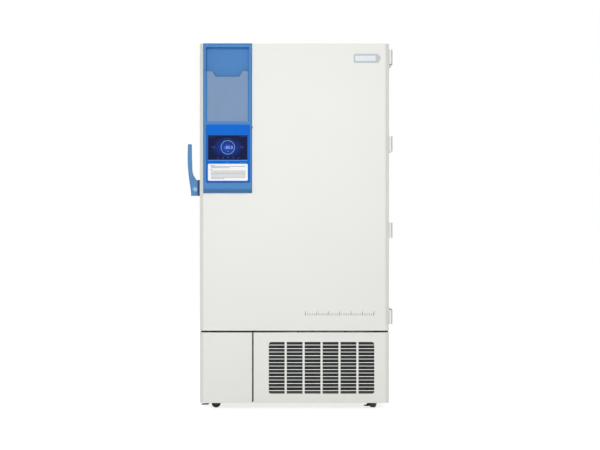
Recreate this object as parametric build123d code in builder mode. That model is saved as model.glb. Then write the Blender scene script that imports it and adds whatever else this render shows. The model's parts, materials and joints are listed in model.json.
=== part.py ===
from build123d import *
import math
import os

# Upright ultra low temperature freezer: a foamed cabinet with a machine compartment
# under it, a foamed front door with a control console, two inner doors, a grille door
# and four casters.
# Frame: +X to the right as seen from the front, +Y to the back, +Z up. The origin is on
# the floor, in the middle of the box round the whole freezer.

os.makedirs("parts", exist_ok=True)

# Cabinet outside
overall_depth = 990
cabinet_width = 1030
cabinet_height = 1990
handle_reach = 68
hinge_reach = 16.5
sheet = 1.2

# Layers from the front to the back
console_proud = 8
bezel_proud = 6
door_thickness = 98
gasket_gap = 12
bumper_depth = 20
seal_clearance = 0.3
flat_clearance = 0.3

# Heights
door_bottom_z = 430
door_gap = 10
panel_bottom_z = 37
skirt_bottom_z = 42
chassis_bottom_z = 85
box_bottom_z = 435

# Cold chamber
side_wall = 130
floor_wall = 120
roof_wall = 125
back_wall = 130
liner_sheet = 1.0
breaker_thickness = 10
flange_width = 25

# Outside edges of the door and of the lower panels
bevel_width = 20
bevel_depth = 12

middle_x = (handle_reach - hinge_reach) / 2
left_x = middle_x - cabinet_width / 2
right_x = middle_x + cabinet_width / 2
front_y = -overall_depth / 2
console_face_y = front_y + bezel_proud
door_face_y = console_face_y + console_proud
door_back_y = door_face_y + door_thickness
cabinet_front_y = door_back_y + gasket_gap
cabinet_back_y = overall_depth / 2 - bumper_depth
panel_top_z = door_bottom_z - door_gap

foam_left_x = left_x + sheet
foam_right_x = right_x - sheet
breaker_front_y = cabinet_front_y + sheet
foam_front_y = breaker_front_y + breaker_thickness
foam_back_y = cabinet_back_y - sheet
foam_bottom_z = box_bottom_z + sheet
foam_top_z = cabinet_height - sheet

chamber_left_x = left_x + side_wall
chamber_right_x = right_x - side_wall
chamber_floor_z = box_bottom_z + floor_wall
chamber_top_z = cabinet_height - roof_wall
chamber_back_y = cabinet_back_y - back_wall


def block(x_span, y_span, z_span, mode=Mode.ADD):
    """Add a box between two limits along each axis to the part being built."""
    spans = (x_span, y_span, z_span)
    middle = tuple((low + high) / 2 for low, high in spans)
    with Locations(middle):
        Box(*[high - low for low, high in spans], mode=mode)


def save(part, name):
    """Label a finished piece and write it as the node of that name."""
    part.label = name
    export_step(part, f"parts/{name}.step")


# Outer case: separate sheet panels, with the skirt panels beside the machine compartment
pan_depth = 40
seam_gap = 0.4
cheek_clearance = 3
port_bore = 25
port_sleeve_wall = 3
port_inset_x = 130
port_inset_z = 160
pan_back_y = door_face_y + pan_depth
cheek_front_y = pan_back_y + cheek_clearance
skirt_top_z = box_bottom_z - seam_gap
port_x = chamber_left_x + port_inset_x
port_z = chamber_top_z - port_inset_z
port_outer_radius = port_bore / 2 + port_sleeve_wall
inner_panel_x = (foam_left_x + seam_gap, foam_right_x - seam_gap)

with BuildPart() as outer_case:
    for outer_x, inward in ((left_x, 1), (right_x, -1)):
        skin_x = sorted((outer_x, outer_x + inward * sheet))
        flange_x = sorted((outer_x, outer_x + inward * flange_width))
        block(
            skin_x,
            (cabinet_front_y, cabinet_back_y),
            (box_bottom_z, cabinet_height),
        )
        block(
            flange_x,
            (cabinet_front_y, cabinet_front_y + sheet),
            (box_bottom_z, foam_top_z - seam_gap),
        )
        block(skin_x, (cheek_front_y, cabinet_back_y), (skirt_bottom_z, panel_top_z))
        block(skin_x, (cabinet_front_y, cabinet_back_y), (panel_top_z, skirt_top_z))
    block(inner_panel_x, (cabinet_front_y, cabinet_back_y), (foam_top_z, cabinet_height))
    block(
        (left_x + flange_width + seam_gap, right_x - flange_width - seam_gap),
        (cabinet_front_y, cabinet_front_y + sheet),
        (foam_top_z - flange_width, foam_top_z),
    )
    block(
        inner_panel_x,
        (foam_back_y, cabinet_back_y),
        (foam_bottom_z + seam_gap, foam_top_z - seam_gap),
    )
    with BuildSketch(Plane.XZ.offset(-cabinet_back_y)):
        with Locations((port_x, port_z)):
            Circle(port_outer_radius)
    extrude(amount=sheet, mode=Mode.SUBTRACT)
    block(
        inner_panel_x,
        (breaker_front_y + seam_gap, cabinet_back_y),
        (box_bottom_z, foam_bottom_z),
    )
save(outer_case.part, "outer_case")

# Foam between the case and the liner, with room for the evaporator tube round the liner
coil_tube = 9.5
coil_bend = 30
coil_offset = flat_clearance + coil_tube / 2
coil_gap = coil_tube + 2 * flat_clearance
liner_left_x = chamber_left_x - liner_sheet
liner_right_x = chamber_right_x + liner_sheet
liner_back_y = chamber_back_y + liner_sheet
cavity_back_y = liner_back_y + coil_gap

with BuildPart() as cabinet_insulation:
    block((foam_left_x, foam_right_x), (foam_front_y, foam_back_y), (foam_bottom_z, foam_top_z))
    block(
        (liner_left_x - coil_gap, liner_right_x + coil_gap),
        (foam_front_y, cavity_back_y),
        (chamber_floor_z - liner_sheet, chamber_top_z + liner_sheet),
        mode=Mode.SUBTRACT,
    )
    with BuildSketch(Plane.XZ.offset(-foam_back_y)):
        with Locations((port_x, port_z)):
            Circle(port_outer_radius)
    extrude(amount=foam_back_y - cavity_back_y, mode=Mode.SUBTRACT)
save(cabinet_insulation.part, "cabinet_insulation")

with BuildPart() as inner_liner:
    block(
        (liner_left_x, liner_right_x),
        (foam_front_y, liner_back_y),
        (chamber_floor_z - liner_sheet, chamber_top_z + liner_sheet),
    )
    rear_corners = inner_liner.edges().filter_by(Axis.Z).group_by(Axis.Y)[-1]
    fillet(rear_corners, radius=coil_bend - coil_offset)
    offset(amount=-liner_sheet, openings=inner_liner.faces().sort_by(Axis.Y)[0])
    with BuildSketch(Plane.XZ.offset(-liner_back_y)):
        with Locations((port_x, port_z)):
            Circle(port_outer_radius)
    extrude(amount=liner_sheet, mode=Mode.SUBTRACT)
save(inner_liner.part, "inner_liner")

with BuildPart() as breaker_frame:
    block(
        (foam_left_x, foam_right_x),
        (breaker_front_y, foam_front_y),
        (foam_bottom_z, foam_top_z),
    )
    block(
        (chamber_left_x, chamber_right_x),
        (breaker_front_y, foam_front_y),
        (chamber_floor_z, chamber_top_z),
        mode=Mode.SUBTRACT,
    )
save(breaker_frame.part, "breaker_frame")

with BuildPart() as access_port_sleeve:
    with BuildSketch(Plane.XZ.offset(-cabinet_back_y)):
        with Locations((port_x, port_z)):
            Circle(port_outer_radius)
            Circle(port_bore / 2, mode=Mode.SUBTRACT)
    extrude(amount=cabinet_back_y - chamber_back_y)
save(access_port_sleeve.part, "access_port_sleeve")

plug_length = 60
plug_flange_diameter = 48
plug_flange_thickness = 8
plug_clearance = 0.3

with BuildPart() as access_port_plug:
    with BuildSketch(Plane.XZ.offset(-cabinet_back_y)):
        with Locations((port_x, port_z)):
            Circle(plug_flange_diameter / 2)
    extrude(amount=-plug_flange_thickness)
    fillet(access_port_plug.edges().group_by(Axis.Y)[-1], radius=2)
    with BuildSketch(Plane.XZ.offset(-cabinet_back_y)):
        with Locations((port_x, port_z)):
            Circle(port_bore / 2 - plug_clearance)
    extrude(amount=plug_length)
save(access_port_plug.part, "access_port_plug")

# Evaporator: one tube wound in level turns round the left, back and right of the liner
coil_turns = 9
coil_end_margin = 90
coil_front_margin = 60
coil_left_x = liner_left_x - coil_offset
coil_right_x = liner_right_x + coil_offset
coil_rear_y = liner_back_y + coil_offset
coil_front_y = foam_front_y + coil_front_margin
coil_bottom_z = chamber_floor_z + coil_end_margin
coil_pitch = (chamber_top_z - coil_end_margin - coil_bottom_z) / (coil_turns - 1)

coil_points = []
for turn in range(coil_turns):
    turn_z = coil_bottom_z + turn * coil_pitch
    loop = [
        (coil_left_x, coil_front_y, turn_z),
        (coil_left_x, coil_rear_y, turn_z),
        (coil_right_x, coil_rear_y, turn_z),
        (coil_right_x, coil_front_y, turn_z),
    ]
    if turn % 2:
        loop.reverse()
    coil_points += loop

with BuildPart() as evaporator_coil:
    with BuildLine() as coil_path:
        FilletPolyline(*coil_points, radius=coil_bend)
    with BuildSketch(Plane(origin=coil_path.line @ 0, z_dir=coil_path.line % 0)):
        Circle(coil_tube / 2)
    sweep()
save(evaporator_coil.part, "evaporator_coil")

# Shelves on slotted standards
shelf_count = 3
shelf_sheet = 1.5
shelf_lip = 22
shelf_setback = 90
shelf_corner_round = 6
shelf_side_gap = 4
standard_width = 22
standard_depth = 3
standard_inset = 70
shelf_front_y = cabinet_front_y + shelf_setback
chamber_height = chamber_top_z - chamber_floor_z
shelf_spacing = chamber_height / (shelf_count + 1)
shelf_left_x = chamber_left_x + standard_depth + shelf_side_gap
shelf_right_x = chamber_right_x - standard_depth - shelf_side_gap
shelf_back_y = chamber_back_y - standard_depth - shelf_side_gap
standard_ys = (shelf_front_y + standard_inset, shelf_back_y - standard_inset)
clip_height = 12
clip_width = 16
standard_margin = 6

with BuildPart() as shelf_standards:
    for wall_x, inward in ((chamber_left_x, 1), (chamber_right_x, -1)):
        for standard_y in standard_ys:
            block(
                sorted((wall_x, wall_x + inward * standard_depth)),
                (standard_y - standard_width / 2, standard_y + standard_width / 2),
                (chamber_floor_z + standard_margin, chamber_top_z - standard_margin),
            )
            for level in range(1, shelf_count + 1):
                clip_top_z = chamber_floor_z + level * shelf_spacing - shelf_lip
                clip_reach = standard_depth + shelf_side_gap + clip_width
                block(
                    sorted((wall_x, wall_x + inward * clip_reach)),
                    (standard_y - clip_width / 2, standard_y + clip_width / 2),
                    (clip_top_z - clip_height, clip_top_z),
                )
save(shelf_standards.part, "shelf_standards")

with BuildPart() as shelves:
    for level in range(1, shelf_count + 1):
        shelf_top_z = chamber_floor_z + level * shelf_spacing
        block(
            (shelf_left_x, shelf_right_x),
            (shelf_front_y, shelf_back_y),
            (shelf_top_z - shelf_lip, shelf_top_z),
        )
    fillet(shelves.edges().filter_by(Axis.Z), radius=shelf_corner_round)
    for level in range(1, shelf_count + 1):
        shelf_top_z = chamber_floor_z + level * shelf_spacing
        block(
            (shelf_left_x + shelf_sheet, shelf_right_x - shelf_sheet),
            (shelf_front_y + shelf_sheet, shelf_back_y - shelf_sheet),
            (shelf_top_z - shelf_lip, shelf_top_z - shelf_sheet),
            mode=Mode.SUBTRACT,
        )
save(shelves.part, "shelves")

# Front door: a bevelled steel pan, foamed, closed at the back by a moulded panel
console_width = 265
console_height = 813
console_slope = 27
moulding_wall = 2.5
recess_left_margin = 15
recess_right_margin = 17
recess_top_margin = 21
recess_height = 404
recess_depth = 46
door_panel_thickness = 2
door_plug_height = 8
door_plug_inset = 20

bezel_left_margin = 15
bezel_bottom_margin = 56.5
bezel_width = 239
bezel_height = 315
electronics_inset = 9

console_left_x = left_x + bevel_width
console_right_x = console_left_x + console_width
console_bottom_z = cabinet_height - console_height
recess_left_x = console_left_x + recess_left_margin
recess_right_x = console_right_x - recess_right_margin
recess_top_z = cabinet_height - recess_top_margin
recess_bottom_z = recess_top_z - recess_height
recess_back_y = console_face_y + recess_depth
bezel_left_x = console_left_x + bezel_left_margin
bezel_right_x = bezel_left_x + bezel_width
bezel_bottom_z = console_bottom_z + bezel_bottom_margin
bezel_top_z = bezel_bottom_z + bezel_height

console_box_x = (recess_left_x - moulding_wall, recess_right_x + moulding_wall)
console_box_z = (
    bezel_bottom_z + electronics_inset - moulding_wall,
    recess_top_z + moulding_wall,
)
console_box_back_y = recess_back_y + moulding_wall


def bevelled_points(x_span, y_span, bevel_low=True, bevel_high=True, inset=0):
    """Corners of a panel seen from above, front edges bevelled, moved in by the inset."""
    low, high = x_span[0] + inset, x_span[1] - inset
    front, back = y_span[0] + inset, y_span[1]
    slant = math.hypot(bevel_width, bevel_depth)
    run = bevel_width + inset * (slant - bevel_width) / bevel_depth - inset
    rise = bevel_depth + inset * (slant - bevel_depth) / bevel_width - inset
    points = [(low, back), (high, back)]
    points += [(high, front + rise), (high - run, front)] if bevel_high else [(high, front)]
    points += [(low + run, front), (low, front + rise)] if bevel_low else [(low, front)]
    return points


door_x_span = (left_x, right_x)
door_y_span = (door_face_y, door_back_y)

with BuildPart() as door_outer_skin:
    with BuildSketch(Plane.XY.offset(door_bottom_z)):
        Polygon(*bevelled_points(door_x_span, door_y_span), align=None)
    extrude(amount=cabinet_height - door_bottom_z)
    with BuildSketch(Plane.XY.offset(door_bottom_z + sheet)):
        Polygon(*bevelled_points(door_x_span, door_y_span, inset=sheet), align=None)
    extrude(amount=cabinet_height - door_bottom_z - 2 * sheet, mode=Mode.SUBTRACT)
    block(console_box_x, (door_face_y, door_face_y + sheet), console_box_z, mode=Mode.SUBTRACT)
save(door_outer_skin.part, "door_outer_skin")

plug_x = (chamber_left_x + door_plug_inset, chamber_right_x - door_plug_inset)
plug_z = (chamber_floor_z + door_plug_inset, chamber_top_z - door_plug_inset)
plug_back_y = door_back_y + door_plug_height
panel_front_y = door_back_y - door_panel_thickness
plug_core_x = (plug_x[0] + door_panel_thickness, plug_x[1] - door_panel_thickness)
plug_core_z = (plug_z[0] + door_panel_thickness, plug_z[1] - door_panel_thickness)
plug_core_y = (panel_front_y, plug_back_y - door_panel_thickness)

with BuildPart() as door_inner_panel:
    block(
        (left_x + sheet, right_x - sheet),
        (panel_front_y, door_back_y),
        (door_bottom_z + sheet, cabinet_height - sheet),
    )
    block(plug_x, (door_back_y, plug_back_y), plug_z)
    block(plug_core_x, plug_core_y, plug_core_z, mode=Mode.SUBTRACT)
save(door_inner_panel.part, "door_inner_panel")

with BuildPart() as door_insulation:
    with BuildSketch(Plane.XY.offset(door_bottom_z + sheet)):
        Polygon(
            *bevelled_points(door_x_span, (door_face_y, panel_front_y), inset=sheet),
            align=None,
        )
    extrude(amount=cabinet_height - door_bottom_z - 2 * sheet)
    block(plug_core_x, plug_core_y, plug_core_z)
    block(console_box_x, (door_face_y, console_box_back_y), console_box_z, mode=Mode.SUBTRACT)
save(door_insulation.part, "door_insulation")

gasket_offset = 15
gasket_width = 30
gasket_back_y = breaker_front_y - seal_clearance
gasket_outer = gasket_offset + gasket_width

with BuildPart() as door_gasket:
    block(
        (chamber_left_x - gasket_outer, chamber_right_x + gasket_outer),
        (door_back_y, gasket_back_y),
        (chamber_floor_z - gasket_outer, chamber_top_z + gasket_outer),
    )
    fillet(door_gasket.edges().filter_by(Axis.Y), radius=gasket_width / 2)
    block(
        (chamber_left_x - gasket_offset, chamber_right_x + gasket_offset),
        (door_back_y, gasket_back_y),
        (chamber_floor_z - gasket_offset, chamber_top_z + gasket_offset),
        mode=Mode.SUBTRACT,
    )
save(door_gasket.part, "door_gasket")

# Control console: one moulding with the recess of the document pocket above the display
sheet_setback = 5
pocket_sheet = 3
pocket_left_margin = 6
pocket_height = 275
notch_depth = 31
notch_bottom_width = 128
notch_top_width = 168
pocket_rib_width = 10
pocket_rib_depth = 4
pocket_front_y = console_face_y + sheet_setback
pocket_back_y = pocket_front_y + pocket_sheet
pocket_top_z = recess_bottom_z + pocket_height
recess_x = (recess_left_x, recess_right_x)
electronics_x = (bezel_left_x + electronics_inset, bezel_right_x - electronics_inset)
electronics_z = (bezel_bottom_z + electronics_inset, bezel_top_z - electronics_inset)

with BuildPart() as console_housing:
    with BuildSketch(Plane.YZ.offset(console_left_x)):
        Polygon(
            (door_face_y, console_bottom_z),
            (console_face_y, console_bottom_z + console_slope),
            (console_face_y, cabinet_height),
            (door_face_y, cabinet_height),
            align=None,
        )
    extrude(amount=console_width)
    block(console_box_x, (door_face_y, console_box_back_y), console_box_z)
    block(
        recess_x,
        (console_face_y, recess_back_y),
        (recess_bottom_z, recess_top_z),
        mode=Mode.SUBTRACT,
    )
    block(electronics_x, (console_face_y, recess_back_y), electronics_z, mode=Mode.SUBTRACT)
    for rib_x in (
        (recess_left_x, recess_left_x + pocket_rib_width),
        (recess_right_x - pocket_rib_width, recess_right_x),
    ):
        block(
            rib_x,
            (pocket_back_y, pocket_back_y + pocket_rib_depth),
            (recess_bottom_z, pocket_top_z),
        )
save(console_housing.part, "console_housing")

pocket_left_x = recess_left_x + pocket_left_margin
pocket_right_x = recess_right_x - pocket_left_margin
pocket_middle_x = (pocket_left_x + pocket_right_x) / 2
shoulder_radius = 7

with BuildPart() as document_pocket:
    with BuildSketch(Plane.XZ.offset(-pocket_back_y)) as pocket_outline:
        Polygon(
            (pocket_left_x, recess_bottom_z),
            (pocket_right_x, recess_bottom_z),
            (pocket_right_x, pocket_top_z),
            (pocket_middle_x + notch_top_width / 2, pocket_top_z),
            (pocket_middle_x + notch_bottom_width / 2, pocket_top_z - notch_depth),
            (pocket_middle_x - notch_bottom_width / 2, pocket_top_z - notch_depth),
            (pocket_middle_x - notch_top_width / 2, pocket_top_z),
            (pocket_left_x, pocket_top_z),
            align=None,
        )
        fillet(pocket_outline.vertices().group_by(Axis.Y)[1:], radius=shoulder_radius)
    extrude(amount=pocket_sheet)
save(document_pocket.part, "document_pocket")

# Display: a bezel plate over a touch screen module, with a label below the screen
bezel_corner = 8
window_left_margin = 12
window_bottom_margin = 123.5
screen_width = 213
screen_height = 133
screen_clearance = 0.2
screen_setback = 0.6
screen_flange = 2.5
module_depth = 14
label_left_margin = 11
label_bottom_margin = 10.5
label_width = 216
label_height = 92
label_corner = 7
label_thickness = 0.5

window_x = (bezel_left_x + window_left_margin, bezel_left_x + window_left_margin + screen_width)
window_z = (
    bezel_bottom_z + window_bottom_margin,
    bezel_bottom_z + window_bottom_margin + screen_height,
)
label_middle = (
    bezel_left_x + label_left_margin + label_width / 2,
    bezel_bottom_z + label_bottom_margin + label_height / 2,
)

with BuildPart() as display_bezel:
    block(
        (bezel_left_x, bezel_right_x),
        (front_y, console_face_y),
        (bezel_bottom_z, bezel_top_z),
    )
    fillet(display_bezel.edges().filter_by(Axis.Y), radius=bezel_corner)
    block(window_x, (front_y, console_face_y), window_z, mode=Mode.SUBTRACT)
    with BuildSketch(Plane.XZ.offset(-front_y)):
        with Locations(label_middle):
            RectangleRounded(label_width, label_height, label_corner)
    extrude(amount=-label_thickness, mode=Mode.SUBTRACT)
save(display_bezel.part, "display_bezel")

with BuildPart() as touch_screen:
    block(
        (window_x[0] + screen_clearance, window_x[1] - screen_clearance),
        (front_y + screen_setback, console_face_y),
        (window_z[0] + screen_clearance, window_z[1] - screen_clearance),
    )
    block(
        (window_x[0] - screen_flange, window_x[1] + screen_flange),
        (console_face_y, console_face_y + module_depth),
        (window_z[0] - screen_flange, window_z[1] + screen_flange),
    )
save(touch_screen.part, "touch_screen")

with BuildPart() as instruction_label:
    with BuildSketch(Plane.XZ.offset(-front_y)):
        with Locations(label_middle):
            RectangleRounded(label_width, label_height, label_corner)
    extrude(amount=-label_thickness)
save(instruction_label.part, "instruction_label")

board_gap = 8
board_thickness = 1.6
board_margin = 6
post_diameter = 6
post_inset = 8
chip_height = 9
board_front_y = console_face_y + module_depth + board_gap
board_back_y = board_front_y + board_thickness
board_x = (electronics_x[0] + board_margin, electronics_x[1] - board_margin)
board_z = (electronics_z[0] + board_margin, electronics_z[1] - board_margin)
board_middle_x = (board_x[0] + board_x[1]) / 2
post_spacing_x = board_x[1] - board_x[0] - 2 * post_inset
post_spacing_z = window_z[1] - window_z[0] - 2 * post_inset
board_chips = ((-60, 60, 40, 24), (10, 70, 34, 34), (65, 55, 30, 18), (-50, -70, 60, 30))
board_middle_z = (board_z[0] + board_z[1]) / 2

with BuildPart() as control_board:
    block(board_x, (board_front_y, board_back_y), board_z)
    with BuildSketch(Plane.XZ.offset(-recess_back_y)):
        with Locations((board_middle_x, (window_z[0] + window_z[1]) / 2)):
            with GridLocations(post_spacing_x, post_spacing_z, 2, 2):
                Circle(post_diameter / 2)
    extrude(amount=recess_back_y - console_face_y - module_depth)
    with BuildSketch(Plane.XZ.offset(-board_back_y)):
        for chip_x, chip_z, chip_width, chip_tall in board_chips:
            with Locations((board_middle_x + chip_x, board_middle_z + chip_z)):
                Rectangle(chip_width, chip_tall)
    extrude(amount=-chip_height)
save(control_board.part, "control_board")

# Blank name plate on the door
badge_right_gap = 48
badge_top_gap = 57
badge_length = 145
badge_height = 48
badge_taper = 14
badge_thickness = 3.5
badge_right_x = right_x - badge_right_gap
badge_left_x = badge_right_x - badge_length
badge_top_z = cabinet_height - badge_top_gap
badge_bottom_z = badge_top_z - badge_height

with BuildPart() as badge_plate:
    with BuildSketch(Plane.XZ.offset(-door_face_y)) as badge_outline:
        Polygon(
            (badge_left_x, badge_bottom_z),
            (badge_right_x - badge_taper, badge_bottom_z),
            (badge_right_x, badge_bottom_z + badge_taper),
            (badge_right_x, badge_top_z - badge_taper),
            (badge_right_x - badge_taper, badge_top_z),
            (badge_left_x, badge_top_z),
            align=None,
        )
        fillet(badge_outline.vertices(), radius=badge_taper / 2)
    extrude(amount=badge_thickness)
save(badge_plate.part, "badge_plate")

# Door hinges on the right side
hinge_count = 4
knuckle_count = 3
hinge_end_gap = 75.6
hinge_height = 82.6
hinge_axis_inset = 30
knuckle_radius = 8
knuckle_gap = 0.3
pin_radius = 4
pin_clearance = 0.05
leaf_thickness = 4
leaf_clearance = 1
door_leaf_length = 70
cabinet_leaf_length = 110
cover_wall = 2
door_cover_reach = 75
door_cover_gap = 12
cabinet_cover_gap = 14
cabinet_cover_reach = 115
cover_round = 3

hinge_x = right_x + knuckle_radius
hinge_y = door_back_y - hinge_axis_inset
cover_outer_x = right_x + hinge_reach
leaf_half = hinge_height / 2 - cover_wall
door_knuckle_half = leaf_half / knuckle_count
hinge_first_z = door_bottom_z + hinge_end_gap
hinge_last_z = cabinet_height - hinge_end_gap
hinge_spacing = (hinge_last_z - hinge_first_z) / (hinge_count - 1)
hinge_zs = [hinge_first_z + i * hinge_spacing for i in range(hinge_count)]
leaf_x = (right_x, right_x + leaf_thickness)
leaf_start = knuckle_radius + leaf_clearance


def knuckle(low_z, high_z, bore_radius):
    """Add a bored knuckle round the hinge axis to the part being built."""
    with Locations((hinge_x, hinge_y, (low_z + high_z) / 2)):
        Cylinder(knuckle_radius, high_z - low_z)
        Cylinder(bore_radius, high_z - low_z, mode=Mode.SUBTRACT)


with BuildPart() as hinge_door_leaves:
    for hinge_z in hinge_zs:
        low_z, high_z = hinge_z - door_knuckle_half, hinge_z + door_knuckle_half
        block(
            leaf_x,
            (hinge_y - door_leaf_length, hinge_y - leaf_start),
            (hinge_z - leaf_half, hinge_z + leaf_half),
        )
        block(leaf_x, (hinge_y - leaf_start, hinge_y), (low_z, high_z))
        knuckle(low_z, high_z, pin_radius + pin_clearance)
save(hinge_door_leaves.part, "hinge_door_leaves")

with BuildPart() as hinge_cabinet_leaves:
    for hinge_z in hinge_zs:
        block(
            leaf_x,
            (hinge_y + leaf_start, hinge_y + cabinet_leaf_length),
            (hinge_z - leaf_half, hinge_z + leaf_half),
        )
        for low_z, high_z in (
            (hinge_z - leaf_half, hinge_z - door_knuckle_half - knuckle_gap),
            (hinge_z + door_knuckle_half + knuckle_gap, hinge_z + leaf_half),
        ):
            block(leaf_x, (hinge_y, hinge_y + leaf_start), (low_z, high_z))
            knuckle(low_z, high_z, pin_radius)
save(hinge_cabinet_leaves.part, "hinge_cabinet_leaves")

with BuildPart() as hinge_pins:
    for hinge_z in hinge_zs:
        with Locations((hinge_x, hinge_y, hinge_z)):
            Cylinder(pin_radius, 2 * leaf_half)
save(hinge_pins.part, "hinge_pins")

for name, y_span in (
    ("hinge_door_covers", (hinge_y - door_cover_reach, hinge_y - door_cover_gap)),
    ("hinge_cabinet_covers", (hinge_y + cabinet_cover_gap, hinge_y + cabinet_cover_reach)),
):
    with BuildPart() as hinge_cover:
        for hinge_z in hinge_zs:
            block(
                (right_x, cover_outer_x),
                y_span,
                (hinge_z - hinge_height / 2, hinge_z + hinge_height / 2),
            )
        fillet(hinge_cover.faces().sort_by(Axis.X)[-hinge_count:].edges(), radius=cover_round)
        for hinge_z in hinge_zs:
            block(
                leaf_x,
                (hinge_y - door_leaf_length, hinge_y + cabinet_leaf_length),
                (hinge_z - leaf_half, hinge_z + leaf_half),
                mode=Mode.SUBTRACT,
            )
    save(hinge_cover.part, name)

# Door handle: a lever that turns forward about a pin on the door's left side
handle_bottom_z = 1163
handle_height = 283
base_thickness = 12
base_height = 86
base_depth = 64
base_offset_y = 47
handle_clearance = 0.3
base_corner_round = 8
grip_end_round = 7.3
pivot_height = 43
pivot_pin_radius = 7
pivot_pin_length = 30
pivot_fit = 0.05
block_depth = 52
grip_width = 28
hook_width = 22
hook_inner_gap = 16
hook_foot_thickness = 4
hook_foot_height = 50
hook_arm_height = 14
hook_nose_round = 5
strike_plate = 4
strike_pin_radius = 7
strike_pin_length = 34
strike_reach_y = 26
strike_plate_length = 56
strike_plate_height = 60
strike_inset = 2
strike_corner_round = 5
strike_clearance = 0.5
lock_offset_x = 26
lock_offset_z = 36
lock_radius = 11.5
lock_length = 18
lock_proud = 2
lock_fit = 0.05
lock_edge = 0.8
key_slot_width = 2.5
key_slot_height = 11
key_slot_depth = 3

pivot_y = door_face_y + base_offset_y
pivot_z = handle_bottom_z + pivot_height
base_outer_x = left_x - base_thickness
block_inner_x = base_outer_x - handle_clearance
block_top_z = handle_bottom_z + base_height
block_front_y = pivot_y - block_depth / 2
block_back_y = pivot_y + block_depth / 2

with BuildPart() as handle_base:
    block(
        (base_outer_x, left_x),
        (pivot_y - base_depth / 2, pivot_y + base_depth / 2),
        (handle_bottom_z, block_top_z),
    )
    fillet(handle_base.edges().filter_by(Axis.X), radius=base_corner_round)
    with BuildSketch(Plane.YZ.offset(base_outer_x)):
        with Locations((pivot_y, pivot_z)):
            Circle(pivot_pin_radius)
    extrude(amount=-pivot_pin_length)
save(handle_base.part, "handle_base")

# Front outline of the lever, with each point as (reach left of the cabinet, height)
outer_edge = [(48, 0), (52.5, 43), (59, 86), (65, 140), (67.8, 227), (66, handle_height)]
grip_inner = [(46, handle_height), (45.4, 216), (43.5, 162), (38.8, 118), (27, 97), (19, 86)]


def handle_point(reach, height):
    return (left_x - reach, handle_bottom_z + height)


with BuildPart() as handle_lever:
    with BuildSketch(Plane.XZ.offset(-pivot_y)):
        with BuildLine():
            outer = Spline(*[handle_point(*point) for point in outer_edge])
            inner = Spline(*[handle_point(*point) for point in grip_inner])
            Line(outer @ 1, inner @ 0)
            Polyline(
                inner @ 1,
                (block_inner_x, block_top_z),
                (block_inner_x, handle_bottom_z),
                outer @ 0,
            )
        make_face()
    extrude(amount=grip_width / 2, both=True)
    fillet(handle_lever.edges().group_by(Axis.Z)[-1], radius=grip_end_round)
    block(
        (left_x - outer_edge[0][0], block_inner_x),
        (block_front_y, block_back_y),
        (handle_bottom_z, block_top_z),
    )
    with BuildSketch(Plane.YZ.offset(block_inner_x)):
        with Locations((pivot_y, pivot_z)):
            Circle(pivot_pin_radius + pivot_fit)
    extrude(amount=-pivot_pin_length, mode=Mode.SUBTRACT)
    with BuildSketch(Plane.XZ.offset(-block_front_y)):
        with Locations((left_x - lock_offset_x, handle_bottom_z + lock_offset_z)):
            Circle(lock_radius + lock_fit)
    extrude(amount=-(lock_length - lock_proud), mode=Mode.SUBTRACT)
save(handle_lever.part, "handle_lever")

with BuildPart() as lock_cylinder:
    with BuildSketch(Plane.XZ.offset(-(block_front_y - lock_proud))):
        with Locations((left_x - lock_offset_x, handle_bottom_z + lock_offset_z)):
            Circle(lock_radius)
    extrude(amount=-lock_length)
    chamfer(lock_cylinder.edges().group_by(Axis.Y)[0], length=lock_edge)
    with BuildSketch(Plane.XZ.offset(-(block_front_y - lock_proud))):
        with Locations((left_x - lock_offset_x, handle_bottom_z + lock_offset_z)):
            Rectangle(key_slot_width, key_slot_height)
    extrude(amount=-key_slot_depth, mode=Mode.SUBTRACT)
save(lock_cylinder.part, "lock_cylinder")

strike_y = cabinet_front_y + strike_reach_y
strike_front_y = cabinet_front_y + strike_inset
strike_z = pivot_z - strike_pin_radius
hook_x = (left_x - hook_inner_gap - hook_width, left_x - hook_inner_gap)
hook_bottom_z = strike_z + strike_pin_radius + strike_clearance

with BuildPart() as latch_hook:
    block(
        hook_x,
        (block_back_y, block_back_y + hook_foot_thickness),
        (pivot_z - hook_foot_height / 2, pivot_z + hook_foot_height / 2),
    )
    block(
        hook_x,
        (block_back_y + hook_foot_thickness, strike_y + strike_pin_radius),
        (hook_bottom_z, hook_bottom_z + hook_arm_height),
    )
    fillet(latch_hook.edges().filter_by(Axis.X).group_by(Axis.Y)[-1], radius=hook_nose_round)
save(latch_hook.part, "latch_hook")

with BuildPart() as latch_strike:
    block(
        (left_x - strike_plate, left_x),
        (strike_front_y, strike_front_y + strike_plate_length),
        (strike_z - strike_plate_height / 2, strike_z + strike_plate_height / 2),
    )
    fillet(latch_strike.edges().filter_by(Axis.X), radius=strike_corner_round)
    with BuildSketch(Plane.YZ.offset(left_x - strike_plate)):
        with Locations((strike_y, strike_z)):
            Circle(strike_pin_radius)
    extrude(amount=-strike_pin_length)
save(latch_strike.part, "latch_strike")

# Inner doors: two foamed doors inside the chamber's mouth, each on two pivot pins
inner_door_thickness = 38
inner_door_setback = 19
inner_door_side_gap = 5
inner_door_end_gap = 12
inner_axis_inset = 7
inner_wall_gap = 1
bracket_width = 13
bracket_depth = 16
bracket_thickness = 10
inner_pin_radius = 3
inner_pin_length = 14
inner_pin_clearance = 0.05
inner_door_round = 6
mullion_height = 28
mullion_depth = 32
pull_width = 120
pull_height = 14
pull_reach = 10
pull_inset = 60

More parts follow.
